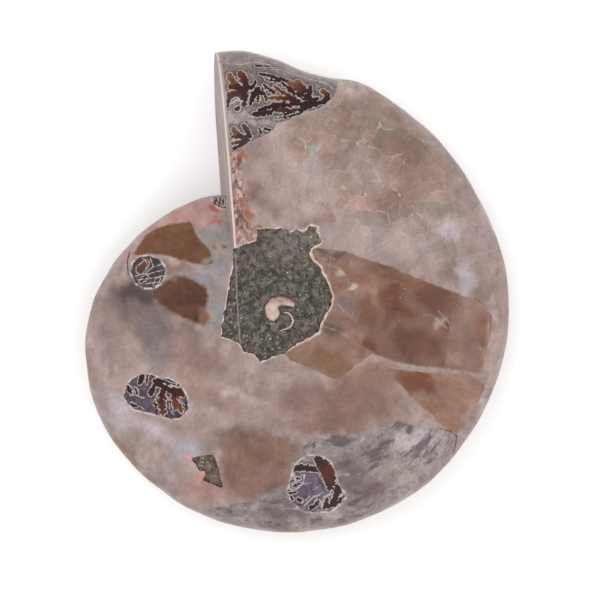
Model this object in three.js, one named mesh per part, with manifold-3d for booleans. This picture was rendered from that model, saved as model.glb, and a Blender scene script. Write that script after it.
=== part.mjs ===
// A polished ammonite fossil lying on its flank, in millimetres, +Z up.
//
// The origin is at the middle of the footprint, on the ground flat that the fossil rests on. Inside the
// functions below heights are measured from the middle plane of the coil and positions from the coil axis.
// A "turn" is an angle round the coil in degrees, counted from the mouth back into the older shell, which
// runs clockwise seen from above.
//
// The whorls are one solid of shell and calcite, with the two bits of the innermost whorl that stand up
// through the filling. Sandstone fills the umbilicus on both flanks and one small hole in the upper flank.
import * as THREE from "three";
import { mergeVertices } from "three/addons/utils/BufferGeometryUtils.js";
import Module from "manifold-3d";

// Whorls
const MOUTH_ANGLE = 103.7; // direction of the mouth's tip from the coil axis, anticlockwise from +X
const VENTER = [ // [turn, radius] of the outer edge of the coil
  [-30, 53.6], [0, 48.4], [14, 45.2], [24, 43.6], [34, 43.7], [44, 43.1], [74, 42.2], [94, 42.7], [104, 43.3],
  [154, 43.7], [184, 43.1], [214, 42.3], [234, 41.2], [254, 39.8], [274, 36.9], [284, 35.1], [304, 30.5],
  [324, 26.8], [344, 23.4], [380, 20.5],
];
const HALF_BREADTH = 12.4; // from the middle plane to the flank, at the mouth
const BREADTH_DECAY = 0.08; // share of the half breadth that is lost for each radian of turn
const SHOULDER_RADIUS = 11; // where the flank starts to fall towards the venter
const FLANK_POWER = 2.2; // how late the flank falls: 2 is an ellipse
const GROUND_FLAT_DEPTH = 9.4; // from the middle plane down to the flat that is ground on the lower flank
const COLUMN_STEP = 5; // degrees of turn between two sections
const FLANK_STEPS = 10; // points on a section from the shoulder to the venter

// Halves of the coil
const NEWER_START = -30; // turn where the newest whorl starts before it is sawn
const JOIN_TURN = 150; // turn where the newer and the older half meet
const JOIN_OVERLAP = 10;
const OLDER_END = 375; // turn where the older whorl stops, hidden under the newer one

// Sawn mouth: a plane that stands almost upright and passes beside the coil axis
const MOUTH_CUT_OFFSET = 7.5; // from the coil axis to the head of the cut, along -X
const MOUTH_CUT_YAW = 4; // degrees that the cut leads away from +Y, towards -X
const MOUTH_CUT_LEAN = 6.5; // degrees that its foot stands out further than its head
const CUTTER_SIZE = 90; // more than the whole coil

// Sandstone in the umbilicus
const GAP = 0.3; // between a filling and its hollow
const UMBILICUS = [ // [angle anticlockwise from +X, radius] of the edge
  [0, 9.7], [25, 9.2], [48, 10.6], [62, 13.4], [80, 13.7], [104, 13.9], [122, 14.2], [140, 12.2], [165, 10.4],
  [190, 10.4], [209, 12.0], [232, 10.8], [252, 10.6], [275, 10.1], [300, 8.7], [330, 9.0],
];
const FILL_HEIGHT = [ // [angle, height of the sandstone's edge over the middle plane]
  [0, 10.5], [45, 11.1], [90, 11.4], [106, 10.6], [122, 8.6], [140, 7.5], [180, 7.9], [225, 8.5], [270, 9.1],
  [315, 9.8],
];
const FILL_CENTRE_HEIGHT = 9.3;
const UNDERSIDE_EDGE_SHARE = 0.85; // the umbilicus is smaller on the lower flank
const UNDERSIDE_FILL_SHARE = 0.8; // height of its sandstone against the upper one
const BOWL = [[1.5, 0.94], [3, 0.8], [4, 0.5]]; // [depth, share of the edge's radius]
const EDGE_STEP = 10; // degrees between two points on the edge
const CLEARANCE_ABOVE = 1; // how far a hollow's cutter stands out of the flank

// Bits of the innermost whorl: [x, y, width] along the middle of each
const INNERMOST_CURL = [
  [2.5, -0.4, 0.8], [1.2, 0.4, 1.5], [-0.3, 0.6, 1.5], [-1.7, -0.2, 1.5], [-1.9, -1.4, 1.4],
  [-1.7, -2.5, 1.0], [-0.8, -2.6, 0.7],
];
const INNERMOST_WALL = [
  [0.8, -1.7, 0.4], [1.6, -1.8, 0.45], [2.4, -2.6, 0.5], [2.5, -3.3, 0.5], [1.6, -4.6, 0.45],
  [0.6, -4.9, 0.4], [-0.1, -5.2, 0.35],
];
const CURL_HEIGHT = 9.55; // of their tops over the middle plane
const CURL_STEPS = 16; // points along one side

// Sandstone in a small hole in the upper flank: [x, y] of the outline
const POCKET = [
  [-16.0, -28.7], [-12.6, -28.1], [-12.0, -28.7], [-11.2, -30.8], [-10.6, -33.9], [-11.1, -34.0],
  [-14.1, -32.6], [-13.7, -31.1], [-14.9, -30.8], [-15.9, -29.4],
];
const POCKET_FLOOR_HEIGHT = 2.5; // over the middle plane

const SAME_POINT = 1e-4; // points closer than this are one point

const wasm = await Module();
wasm.setup();

const radians = THREE.MathUtils.degToRad;

/** A smooth function through [position, value] stations. */
function smoothThrough(stations) {
  const positions = stations.map(([position]) => position);
  const values = stations.map(([, value]) => value);
  const curve = new THREE.CubicInterpolant(positions, values, 1);
  return (position) => curve.evaluate(position)[0];
}

/** The same for stations that go once round a circle. */
function smoothRound(stations) {
  const shifted = (turns) => stations.map(([angle, value]) => [angle + 360 * turns, value]);
  return smoothThrough([...shifted(-1), ...stations, ...shifted(1)]);
}

const venterRadius = smoothThrough(VENTER);
const umbilicusRadius = smoothRound(UMBILICUS);
const fillHeight = smoothRound(FILL_HEIGHT);

/** A manifold-3d solid from a closed three.js geometry. */
function solidOf(geometry) {
  geometry.deleteAttribute("normal");
  geometry.deleteAttribute("uv");
  const merged = mergeVertices(geometry, SAME_POINT);
  const corners = merged.index.array;
  const kept = [];
  for (let i = 0; i < corners.length; i += 3) {
    const [a, b, c] = corners.slice(i, i + 3);
    if (a !== b && b !== c && c !== a) {
      kept.push(a, b, c);
    }
  }
  const vertProperties = new Float32Array(merged.attributes.position.array);
  const triVerts = new Uint32Array(kept);
  return new wasm.Manifold(new wasm.Mesh({ numProp: 3, vertProperties, triVerts }));
}

/** A three.js geometry with flat facets from a manifold-3d solid. */
function geometryOf(solid) {
  const mesh = solid.getMesh();
  const geometry = new THREE.BufferGeometry();
  geometry.setAttribute("position", new THREE.BufferAttribute(mesh.vertProperties, mesh.numProp));
  geometry.setIndex(new THREE.BufferAttribute(mesh.triVerts, 1));
  return geometry.toNonIndexed();
}

/** The average of some points. */
function middleOf(points) {
  const sum = points.reduce((total, point) => total.add(point), points[0].clone().setScalar(0));
  return sum.divideScalar(points.length);
}

/** A solid skinned over rings of equally many points, closed at both ends by a fan round its middle. */
function loft(rings) {
  const count = rings[0].length;
  const points = [...rings.flat(), middleOf(rings[0]), middleOf(rings.at(-1))];
  const firstMiddle = points.length - 2;
  const lastMiddle = points.length - 1;
  const lastRing = (rings.length - 1) * count;
  const faces = [];
  for (let i = 0; i < count; i++) {
    const next = (i + 1) % count;
    faces.push(firstMiddle, i, next);
    faces.push(lastMiddle, lastRing + next, lastRing + i);
    for (let row = 0; row < lastRing; row += count) {
      faces.push(row + i, row + count + next, row + next);
      faces.push(row + i, row + count + i, row + count + next);
    }
  }
  const geometry = new THREE.BufferGeometry().setFromPoints(points);
  geometry.setIndex(faces);
  return solidOf(geometry);
}

/** A point of the coil from its polar position and its height over the middle plane. */
function polarPoint(angle, radius, height) {
  return new THREE.Vector3(radius * Math.cos(radians(angle)), radius * Math.sin(radians(angle)), height);
}

/** One upright section of the coil: from the axis over the upper flank and back along the lower one. */
function section(turn) {
  const angle = MOUTH_ANGLE - turn;
  const halfBreadth = HALF_BREADTH * Math.exp(-BREADTH_DECAY * radians(turn));
  const upper = [polarPoint(angle, 0, halfBreadth)];
  for (let i = 0; i < FLANK_STEPS; i++) {
    const fall = ((i / FLANK_STEPS) * Math.PI) / 2;
    const reach = Math.sin(fall) ** (2 / FLANK_POWER);
    const radius = THREE.MathUtils.lerp(SHOULDER_RADIUS, venterRadius(turn), reach);
    upper.push(polarPoint(angle, radius, halfBreadth * Math.cos(fall)));
  }
  const lower = upper.map(({ x, y, z }) => new THREE.Vector3(x, y, -Math.min(z, GROUND_FLAT_DEPTH)));
  return [...upper, polarPoint(angle, venterRadius(turn), 0), ...lower.reverse()];
}

/** The part of the coil between two turns. */
function coil(fromTurn, toTurn) {
  const columns = Math.ceil((toTurn - fromTurn) / COLUMN_STEP);
  const rings = [];
  for (let i = 0; i <= columns; i++) {
    rings.push(section(THREE.MathUtils.lerp(fromTurn, toTurn, i / columns)));
  }
  return loft(rings);
}

/** A block that takes away everything in front of the sawn mouth. */
function mouthCutter() {
  const block = new THREE.BoxGeometry(CUTTER_SIZE, 2 * CUTTER_SIZE, CUTTER_SIZE);
  block.translate(-CUTTER_SIZE / 2, 0, 0);
  block.rotateY(radians(MOUTH_CUT_LEAN));
  block.rotateZ(radians(MOUTH_CUT_YAW));
  block.translate(-MOUTH_CUT_OFFSET, 0, HALF_BREADTH);
  return solidOf(block);
}

/** A ring of points round the umbilicus at a share of its radius, grown outwards. */
function umbilicusRing(share, growth, heightAt) {
  const ring = [];
  for (let angle = 0; angle < 360; angle += EDGE_STEP) {
    ring.push(polarPoint(angle, umbilicusRadius(angle) * share + growth, heightAt(angle)));
  }
  return ring;
}

/** The rings of a bowl under the edge of the sandstone, from the edge downwards. */
function bowlRings(flank, growth) {
  return BOWL.map(([depth, narrowing]) =>
    umbilicusRing(flank.edgeShare * narrowing, growth, (angle) => flank.edgeHeight(angle) - depth - growth),
  );
}

/** A solid skinned over rings that are given for the upper flank, on the side of the flank. */
function loftOnFlank(flank, rings) {
  const placed = rings.map((ring) => ring.map(({ x, y, z }) => new THREE.Vector3(x, y, flank.side * z)));
  return loft(flank.side > 0 ? placed : placed.reverse());
}

/** The sandstone of one umbilicus. */
function fillBody(flank) {
  const halfwayHeight = (angle) => (flank.edgeHeight(angle) + flank.centreHeight) / 2;
  const halfway = umbilicusRing(flank.edgeShare / 2, 0, halfwayHeight);
  const edge = umbilicusRing(flank.edgeShare, 0, flank.edgeHeight);
  return loftOnFlank(flank, [halfway, edge, ...bowlRings(flank, 0)]);
}

/** The hollow round that sandstone, open at the flank. */
function fillHollow(flank) {
  const outside = umbilicusRing(flank.edgeShare, GAP, () => HALF_BREADTH + CLEARANCE_ABOVE);
  const edge = umbilicusRing(flank.edgeShare, GAP, (angle) => flank.edgeHeight(angle) - GAP);
  return loftOnFlank(flank, [outside, edge, ...bowlRings(flank, GAP)]);
}

/** A solid that stands upright on an outline, between two heights. */
function prism(outline, bottom, top) {
  const shape = new THREE.Shape(outline);
  const geometry = new THREE.ExtrudeGeometry(shape, { depth: top - bottom, bevelEnabled: false });
  return solidOf(geometry.translate(0, 0, bottom));
}

/** The outline of a stroke along [x, y, width] stations, grown outwards. */
function strokeOutline(stations, growth) {
  const middle = new THREE.CatmullRomCurve3(stations.map((station) => new THREE.Vector3(...station)));
  const left = [];
  const right = [];
  for (let i = 0; i <= CURL_STEPS; i++) {
    const point = middle.getPoint(i / CURL_STEPS);
    const ahead = middle.getTangent(i / CURL_STEPS).setZ(0).normalize();
    const reach = point.z / 2 + growth;
    if (i === 0) {
      point.addScaledVector(ahead, -growth);
    }
    if (i === CURL_STEPS) {
      point.addScaledVector(ahead, growth);
    }
    left.push(new THREE.Vector2(point.x - ahead.y * reach, point.y + ahead.x * reach));
    right.push(new THREE.Vector2(point.x + ahead.y * reach, point.y - ahead.x * reach));
  }
  return [...left, ...right.reverse()];
}

/** The outline of the pocket, grown outwards from its middle. */
function pocketOutline(growth) {
  const points = POCKET.map(([x, y]) => new THREE.Vector2(x, y));
  const middle = middleOf(points);
  return points.map((point) => {
    const outwards = point.clone().sub(middle).normalize();
    return point.clone().addScaledVector(outwards, growth);
  });
}

/** A named mesh of one solid with the colour and finish of its material. */
function piece(name, solid, color, roughness) {
  const material = new THREE.MeshStandardMaterial({ color, roughness, metalness: 0 });
  const mesh = new THREE.Mesh(geometryOf(solid), material);
  mesh.name = name;
  return mesh;
}

const UPPER_FLANK = {
  side: 1,
  edgeShare: 1,
  edgeHeight: fillHeight,
  centreHeight: FILL_CENTRE_HEIGHT,
};
const LOWER_FLANK = {
  side: -1,
  edgeShare: UNDERSIDE_EDGE_SHARE,
  edgeHeight: (angle) => fillHeight(angle) * UNDERSIDE_FILL_SHARE,
  centreHeight: FILL_CENTRE_HEIGHT * UNDERSIDE_FILL_SHARE,
};

const newerHalf = coil(NEWER_START, JOIN_TURN + JOIN_OVERLAP).subtract(mouthCutter());
const wholeCoil = newerHalf.add(coil(JOIN_TURN, OLDER_END));
const pocketHollow = prism(pocketOutline(GAP), POCKET_FLOOR_HEIGHT - GAP, HALF_BREADTH);

/** A bit of the innermost whorl, or the hollow round it when it is grown. */
const innermostBit = (stations, growth) => prism(strokeOutline(stations, growth), 0, CURL_HEIGHT + growth);

const whorls = wholeCoil
  .subtract(fillHollow(UPPER_FLANK))
  .subtract(fillHollow(LOWER_FLANK))
  .subtract(pocketHollow)
  .add(innermostBit(INNERMOST_CURL, 0))
  .add(innermostBit(INNERMOST_WALL, 0));
const upperFill = fillBody(UPPER_FLANK)
  .subtract(innermostBit(INNERMOST_CURL, GAP))
  .subtract(innermostBit(INNERMOST_WALL, GAP));
const lowerFill = fillBody(LOWER_FLANK);
const pocketFill = prism(pocketOutline(0), POCKET_FLOOR_HEIGHT, HALF_BREADTH).intersect(wholeCoil);

const fossil = new THREE.Group();
fossil.add(
  piece("ammonite_whorls", whorls, 0xa58a7e, 0.32),
  piece("umbilicus_matrix", upperFill, 0x55554b, 0.85),
  piece("umbilicus_matrix_underside", lowerFill, 0x55554b, 0.85),
  piece("flank_matrix_pocket", pocketFill, 0x6b6258, 0.8),
);

// Move the middle of the footprint to the origin.
const box = new THREE.Box3().setFromObject(fossil);
const middle = box.getCenter(new THREE.Vector3());
for (const mesh of fossil.children) {
  mesh.geometry.translate(-middle.x, -middle.y, -box.min.z);
}

export default fossil;
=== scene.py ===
"""A polished ammonite fossil that lies on its flank, with sandstone in its umbilicus.

Forms are modelled in millimetres round the coil axis, with the middle plane of the coil at height nought, and
each finished piece is then moved into the row frame. A turn is an angle round the coil in degrees, counted
from the mouth back into the older shell, which runs clockwise seen from above.
"""
import logging
import math
from dataclasses import dataclass
from enum import Enum
from typing import Any

import bpy
import numpy as np
from mathutils import Matrix, Vector, noise


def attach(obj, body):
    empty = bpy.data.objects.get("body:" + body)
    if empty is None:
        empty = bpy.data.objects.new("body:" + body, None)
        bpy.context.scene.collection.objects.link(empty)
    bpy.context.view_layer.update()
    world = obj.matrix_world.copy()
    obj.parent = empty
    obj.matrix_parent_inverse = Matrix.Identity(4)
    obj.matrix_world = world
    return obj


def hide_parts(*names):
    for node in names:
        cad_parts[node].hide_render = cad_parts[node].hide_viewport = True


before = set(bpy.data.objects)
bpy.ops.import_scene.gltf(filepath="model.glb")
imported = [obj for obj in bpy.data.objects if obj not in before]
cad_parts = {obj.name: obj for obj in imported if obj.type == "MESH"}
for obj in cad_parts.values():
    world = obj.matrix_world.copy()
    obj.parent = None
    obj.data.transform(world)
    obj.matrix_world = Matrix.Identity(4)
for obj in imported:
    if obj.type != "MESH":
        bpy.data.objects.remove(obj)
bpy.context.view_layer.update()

LOG = logging.getLogger("ammonite")
MM = 0.001
COIL_AXIS = Vector((-3.42, -2.07, 9.4))
BODY = "root"
FAR = 99.0
ABOVE_ALL = 16.0
HALF_KERF = 0.08
SMOOTH_ANGLE = math.radians(32)

Outline = list[tuple[float, float]]
Stroke = list[tuple[float, float]]


class Slot(Enum):
    """The record's material slots."""

    SHELL = "fossil_shell"
    SANDSTONE = "sandstone"


class Side(Enum):
    """The two flanks of the coil."""

    UPPER = 1
    LOWER = -1


# ----------------------------------------------------------------------------------------------------------
# Plane geometry
# ----------------------------------------------------------------------------------------------------------


def segment_distance(places: np.ndarray, start: np.ndarray, end: np.ndarray) -> tuple[np.ndarray, np.ndarray]:
    """Measures places against one straight segment.

    Args:
        places: Rows of x and y.
        start: Where the segment starts.
        end: Where it ends.

    Returns:
        The distance of each place, and how far along the segment its nearest point is, from 0 to 1.
    """
    run = end - start
    share = np.clip(((places - start) @ run) / max(float(run @ run), 1e-12), 0, 1)
    return np.linalg.norm(places - start - share[:, None] * run, axis=1), share


def outline_distance(places: np.ndarray, outline: Outline) -> np.ndarray:
    """Signed distance to a closed outline.

    Args:
        places: Rows of x and y.
        outline: Corners of the outline.

    Returns:
        The distance of each place, negative inside.
    """
    corners = np.array(outline, float)
    best = np.full(len(places), FAR)
    inside = np.zeros(len(places), bool)
    for a, b in zip(corners, np.roll(corners, -1, axis=0)):
        best = np.minimum(best, segment_distance(places, a, b)[0])
        rise = b[1] - a[1] if abs(b[1] - a[1]) > 1e-9 else 1e-9
        crossing = a[0] + (places[:, 1] - a[1]) * (b[0] - a[0]) / rise
        inside ^= ((a[1] > places[:, 1]) != (b[1] > places[:, 1])) & (places[:, 0] < crossing)
    return np.where(inside, -best, best)


def stroke_distance(places: np.ndarray, stroke: Stroke) -> np.ndarray:
    """Distance to a line through points.

    Args:
        places: Rows of x and y.
        stroke: The points of the line.

    Returns:
        The distance of each place.
    """
    points = np.array(stroke, float)
    return np.min([segment_distance(places, a, b)[0] for a, b in zip(points, points[1:])], axis=0)


def roughened(outline: Outline, step: float, amount: float, size: float) -> Outline:
    """Breaks the straight sides of an outline into small uneven steps.

    Args:
        outline: Corners of the outline.
        step: Spacing of the new points.
        amount: How far they stray.
        size: Width of one bump.

    Returns:
        The new outline.
    """
    corners = np.array(outline, float)
    rough = []
    for a, b in zip(corners, np.roll(corners, -1, axis=0)):
        count = max(1, round(float(np.linalg.norm(b - a)) / step))
        for i in range(count):
            x, y = a + (b - a) * i / count
            stray = noise.noise_vector(Vector((x / size, y / size, 0)))
            rough.append((float(x + amount * stray.x), float(y + amount * stray.y)))
    return rough


def grown(outline: Outline, growth: float) -> Outline:
    """Moves the corners of an outline away from its middle.

    Args:
        outline: Corners of the outline.
        growth: How far they move.

    Returns:
        The new outline.
    """
    corners = np.array(outline, float)
    away = corners - corners.mean(axis=0)
    away /= np.linalg.norm(away, axis=1)[:, None]
    return [tuple(corner) for corner in corners + growth * away]


def smooth_through(stations: list[tuple[float, float]], at: np.ndarray) -> np.ndarray:
    """A smooth curve through stations.

    Args:
        stations: Positions and values.
        at: Where to read the curve.

    Returns:
        The values there.
    """
    xs, ys = np.array(stations, float).T
    slopes = np.gradient(ys, xs)
    i = np.clip(np.searchsorted(xs, at) - 1, 0, len(xs) - 2)
    width = xs[i + 1] - xs[i]
    t = np.clip((at - xs[i]) / width, 0, 1)
    rise = ys[i + 1] - ys[i]
    bend_in = slopes[i] * width - rise
    bend_out = rise - slopes[i + 1] * width
    return ys[i] + t * rise + t * (1 - t) * ((1 - t) * bend_in + t * bend_out)


# ----------------------------------------------------------------------------------------------------------
# Objects
# ----------------------------------------------------------------------------------------------------------


def activate(piece: bpy.types.Object) -> None:
    """Makes one object the only selected one and the active one."""
    bpy.ops.object.select_all(action="DESELECT")
    piece.select_set(True)
    bpy.context.view_layer.objects.active = piece


def apply_all(piece: bpy.types.Object) -> None:
    """Applies every modifier of an object in order."""
    activate(piece)
    for modifier in list(piece.modifiers):
        bpy.ops.object.modifier_apply(modifier=modifier.name)


def combine(piece: bpy.types.Object, tool: bpy.types.Object, operation: str) -> None:
    """Joins, cuts or intersects a piece with a tool and removes the tool.

    Args:
        piece: The object that is changed.
        tool: The object it is combined with.
        operation: UNION, DIFFERENCE or INTERSECT.
    """
    modifier = piece.modifiers.new(operation.lower(), "BOOLEAN")
    modifier.object = tool
    modifier.operation = operation
    modifier.solver = "MANIFOLD"
    apply_all(piece)
    bpy.data.objects.remove(tool)


def coordinates(piece: bpy.types.Object) -> np.ndarray:
    """The vertices of a piece as rows of x, y and z."""
    flat = np.empty(len(piece.data.vertices) * 3, np.float32)
    piece.data.vertices.foreach_get("co", flat)
    return flat.reshape(-1, 3).astype(float)


def set_coordinates(piece: bpy.types.Object, places: np.ndarray) -> None:
    """Moves the vertices of a piece to rows of x, y and z."""
    piece.data.vertices.foreach_set("co", places.astype(np.float32).ravel())
    piece.data.update()


def store(piece: bpy.types.Object, name: str, values: np.ndarray) -> None:
    """Keeps one value for each vertex under a name that the finish can read."""
    attribute = piece.data.attributes.new(name, "FLOAT", "POINT")
    attribute.data.foreach_set("value", np.asarray(values, np.float32))


def store_colours(piece: bpy.types.Object, name: str, colours: np.ndarray) -> None:
    """Keeps one colour with its cover for each vertex under a name that the finish can read."""
    attribute = piece.data.attributes.new(name, "FLOAT_COLOR", "POINT")
    attribute.data.foreach_set("color", colours.astype(np.float32).ravel())


def pick_faces(piece: bpy.types.Object, chosen: np.ndarray) -> None:
    """Goes to edit mode with only some faces selected.

    Args:
        piece: The object that is edited.
        chosen: For each face, whether it is selected.
    """
    activate(piece)
    bpy.ops.object.mode_set(mode="EDIT")
    bpy.ops.mesh.select_mode(type="FACE")
    bpy.ops.mesh.select_all(action="DESELECT")
    bpy.ops.object.mode_set(mode="OBJECT")
    mesh = piece.data
    edges = np.empty(len(mesh.loops), int)
    mesh.loops.foreach_get("edge_index", edges)
    sizes = np.empty(len(mesh.polygons), int)
    mesh.polygons.foreach_get("loop_total", sizes)
    picked = np.zeros(len(mesh.edges), bool)
    picked[edges[np.repeat(chosen, sizes)]] = True
    mesh.edges.foreach_set("select", picked)
    mesh.polygons.foreach_set("select", chosen)
    bpy.ops.object.mode_set(mode="EDIT")


def prism(name: str, outline: Outline, bottom: float, top: float) -> bpy.types.Object:
    """Extrudes an outline upright.

    Args:
        name: Name of the new object.
        outline: Corners, in order.
        bottom: Height of the lower face.
        top: Height of the upper face.

    Returns:
        The closed prism.
    """
    bpy.ops.mesh.primitive_circle_add(vertices=len(outline), fill_type="NGON")
    piece = bpy.context.object
    piece.name = name
    flat = np.column_stack([np.array(outline, float), np.full(len(outline), bottom)])
    set_coordinates(piece, flat)
    bpy.ops.object.mode_set(mode="EDIT")
    bpy.ops.mesh.select_all(action="SELECT")
    bpy.ops.mesh.extrude_region_move(TRANSFORM_OT_translate={"value": (0, 0, top - bottom)})
    bpy.ops.mesh.select_all(action="SELECT")
    bpy.ops.mesh.normals_make_consistent(inside=False)
    bpy.ops.object.mode_set(mode="OBJECT")
    return piece


def cloud_texture(name: str, size: float, depth: int) -> bpy.types.Texture:
    """A soft cloud texture for displacement, with the width of its lumps and its depth of detail."""
    texture = bpy.data.textures.new(name, "CLOUDS")
    texture.noise_scale = size
    texture.noise_depth = depth
    return texture


def grain_texture(name: str, size: float) -> bpy.types.Texture:
    """A texture of round grains for displacement, with the width of one grain."""
    texture = bpy.data.textures.new(name, "VORONOI")
    texture.noise_scale = size
    texture.distance_metric = "DISTANCE"
    texture.weight_1 = 1.0
    return texture


def displace(piece: bpy.types.Object, texture: bpy.types.Texture, strength: float) -> None:
    """Pushes the surface of a piece in and out by a texture.

    Args:
        piece: The object.
        texture: What drives the push.
        strength: Its whole travel.
    """
    modifier = piece.modifiers.new(texture.name, "DISPLACE")
    modifier.texture = texture
    modifier.strength = strength
    modifier.mid_level = 0.5
    apply_all(piece)


def finish_piece(piece: bpy.types.Object, nodes: list[str], material: bpy.types.Material) -> None:
    """Moves a piece into the row frame, paints it and hands it to the frame.

    Args:
        piece: The modelled object, in millimetres round the coil axis.
        nodes: The nodes it stands for.
        material: Its finish.
    """
    piece.data.transform(Matrix.Scale(MM, 4) @ Matrix.Translation(COIL_AXIS))
    piece.data.materials.clear()
    piece.data.materials.append(material)
    activate(piece)
    bpy.ops.object.shade_smooth_by_angle(angle=SMOOTH_ANGLE)
    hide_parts(*nodes)
    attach(piece, BODY)
    triangles = sum(len(face.vertices) - 2 for face in piece.data.polygons)
    LOG.info("%s: %d triangles", piece.name, triangles)


# ----------------------------------------------------------------------------------------------------------
# Marks on the flank: outlines, lines and suture leaves, in millimetres from the coil axis
# ----------------------------------------------------------------------------------------------------------

UMBILICUS: Outline = [
    (-8.4, 9.9), (-6.2, 10.7), (-4.2, 11.4), (-3.9, 13.3), (-2.4, 13.4), (-1.0, 13.3), (0.1, 13.8),
    (1.0, 13.4), (1.8, 12.7), (3.0, 13.3), (4.1, 12.9), (5.0, 13.1), (5.7, 14.0), (6.8, 13.8), (6.8, 12.6),
    (7.6, 11.1), (5.7, 10.0), (5.4, 9.1), (6.1, 7.6), (7.4, 6.7), (7.9, 5.3), (8.8, 3.5), (9.6, 1.3),
    (9.4, -0.4), (8.3, -2.2), (7.4, -3.8), (7.2, -5.3), (4.8, -6.7), (2.5, -8.0), (0.8, -9.3), (-1.4, -9.9),
    (-2.8, -10.6), (-3.4, -10.8), (-4.8, -9.3), (-6.5, -9.0), (-7.6, -7.3), (-8.5, -6.9), (-10.7, -6.2),
    (-10.5, -4.6), (-10.2, -2.2), (-9.6, 1.3), (-9.1, 4.6), (-8.5, 7.5),
]
POCKET: Outline = [
    (-16.1, -28.5), (-14.7, -28.2), (-12.4, -27.8), (-11.9, -28.5), (-11.2, -30.7), (-10.5, -33.9),
    (-11.0, -34.1), (-12.5, -33.4), (-14.2, -32.7), (-13.6, -31.5), (-13.8, -31.0), (-14.9, -30.9),
    (-15.4, -29.7), (-16.1, -29.1),
]
WINDOWS: list[Outline] = [
    [(-10.6, 44.6), (-10.0, 39.5), (-9.4, 33.4), (-8.6, 27.5), (-5.9, 29.0), (-1.5, 31.2), (-0.5, 32.7),
     (1.7, 33.5), (4.7, 35.0), (7.4, 35.8), (9.5, 37.6), (10.4, 38.8), (10.8, 41.6), (7.4, 43.4),
     (3.8, 45.2), (0.0, 47.4), (-3.7, 48.6), (-7.4, 49.0), (-11.0, 49.2)],
    [(-27.5, 5.7), (-27.2, 7.4), (-25.9, 8.5), (-24.1, 8.7), (-22.4, 8.1), (-21.3, 6.8), (-21.1, 5.2),
     (-21.8, 3.7), (-23.1, 2.8), (-24.8, 2.8), (-26.5, 3.7)],
    [(-28.8, -17.2), (-28.2, -15.3), (-27.2, -14.0), (-25.1, -13.1), (-23.5, -13.2), (-22.3, -13.8),
     (-20.3, -13.9), (-18.3, -15.0), (-17.0, -17.2), (-16.8, -19.4), (-18.3, -21.1), (-20.0, -21.3),
     (-21.5, -20.8), (-23.9, -20.3), (-26.9, -19.6), (-28.0, -18.6)],
    [(2.8, -29.9), (3.9, -28.8), (6.0, -28.0), (7.6, -28.2), (9.3, -29.2), (10.2, -31.2), (10.6, -33.3),
     (11.9, -35.1), (12.1, -36.0), (11.0, -37.4), (9.3, -38.5), (6.7, -38.7), (4.5, -38.5), (2.3, -36.7),
     (1.5, -34.6), (2.1, -32.7)],
    [(-12.6, 19.7), (-10.1, 20.3), (-10.0, 17.5), (-11.3, 17.7), (-12.4, 18.4)],
]
PALE_LINES: list[tuple[Stroke, float]] = [
    ([(18.2, -9.8), (20.7, -10.9), (25.0, -11.7), (30.2, -12.2), (35.1, -13.0), (37.8, -13.6)], 0.28),
    ([(25.0, 18.9), (25.3, 17.0), (25.9, 15.4), (29.1, 14.7), (32.3, 15.1), (34.2, 15.5)], 0.08),
    ([(6.5, 7.5), (9.2, 6.9), (11.9, 6.0)], 0.08), ([(7.8, -4.2), (10.1, -4.9), (12.5, -6.0)], 0.1),
    ([(8.6, 3.5), (9.9, 0.6), (11.9, -1.6), (13.2, -2.0)], 0.14),
    ([(-7.2, -9.4), (-6.9, -13.0), (-6.6, -16.8)], 0.1),
    ([(-29.4, 8.8), (-27.8, 11.0), (-25.8, 13.2)], 0.1), ([(6.4, 9.4), (8.8, 8.6), (11.2, 7.4)], 0.05),
    ([(6.8, 8.4), (9.4, 7.8)], 0.05), ([(13.4, 8.2), (12.4, 6.0)], 0.04),
    ([(11.6, 5.4), (13.2, 3.0), (14.2, 1.8)], 0.05), ([(29.0, -1.4), (31.0, -3.4), (31.6, -5.2)], 0.05),
    ([(16.0, 30.0), (19.0, 27.2), (18.4, 24.8)], 0.08),
    ([(25.6, 18.6), (27.6, 18.9), (31.0, 18.4)], 0.14),
    ([(26.2, -2.2), (27.9, -2.2), (29.4, -3.5), (30.7, -4.6)], 0.12),
    ([(14.1, 7.2), (15.2, 9.6), (16.5, 12.1)], 0.05), ([(12.5, 19.5), (14.6, 17.0), (15.4, 14.6)], 0.05),
    ([(24.0, 27.5), (25.6, 24.6), (28.0, 22.4), (28.6, 19.4)], 0.05),
    ([(16.6, 24.4), (19.4, 25.6), (22.0, 24.6)], 0.04), ([(8.0, 17.0), (9.6, 20.4), (9.4, 24.0)], 0.05),
    ([(37.0, -8.2), (38.2, -10.6), (37.6, -12.6)], 0.2), ([(38.6, -3.6), (38.4, -7.0)], 0.15),
]
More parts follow.
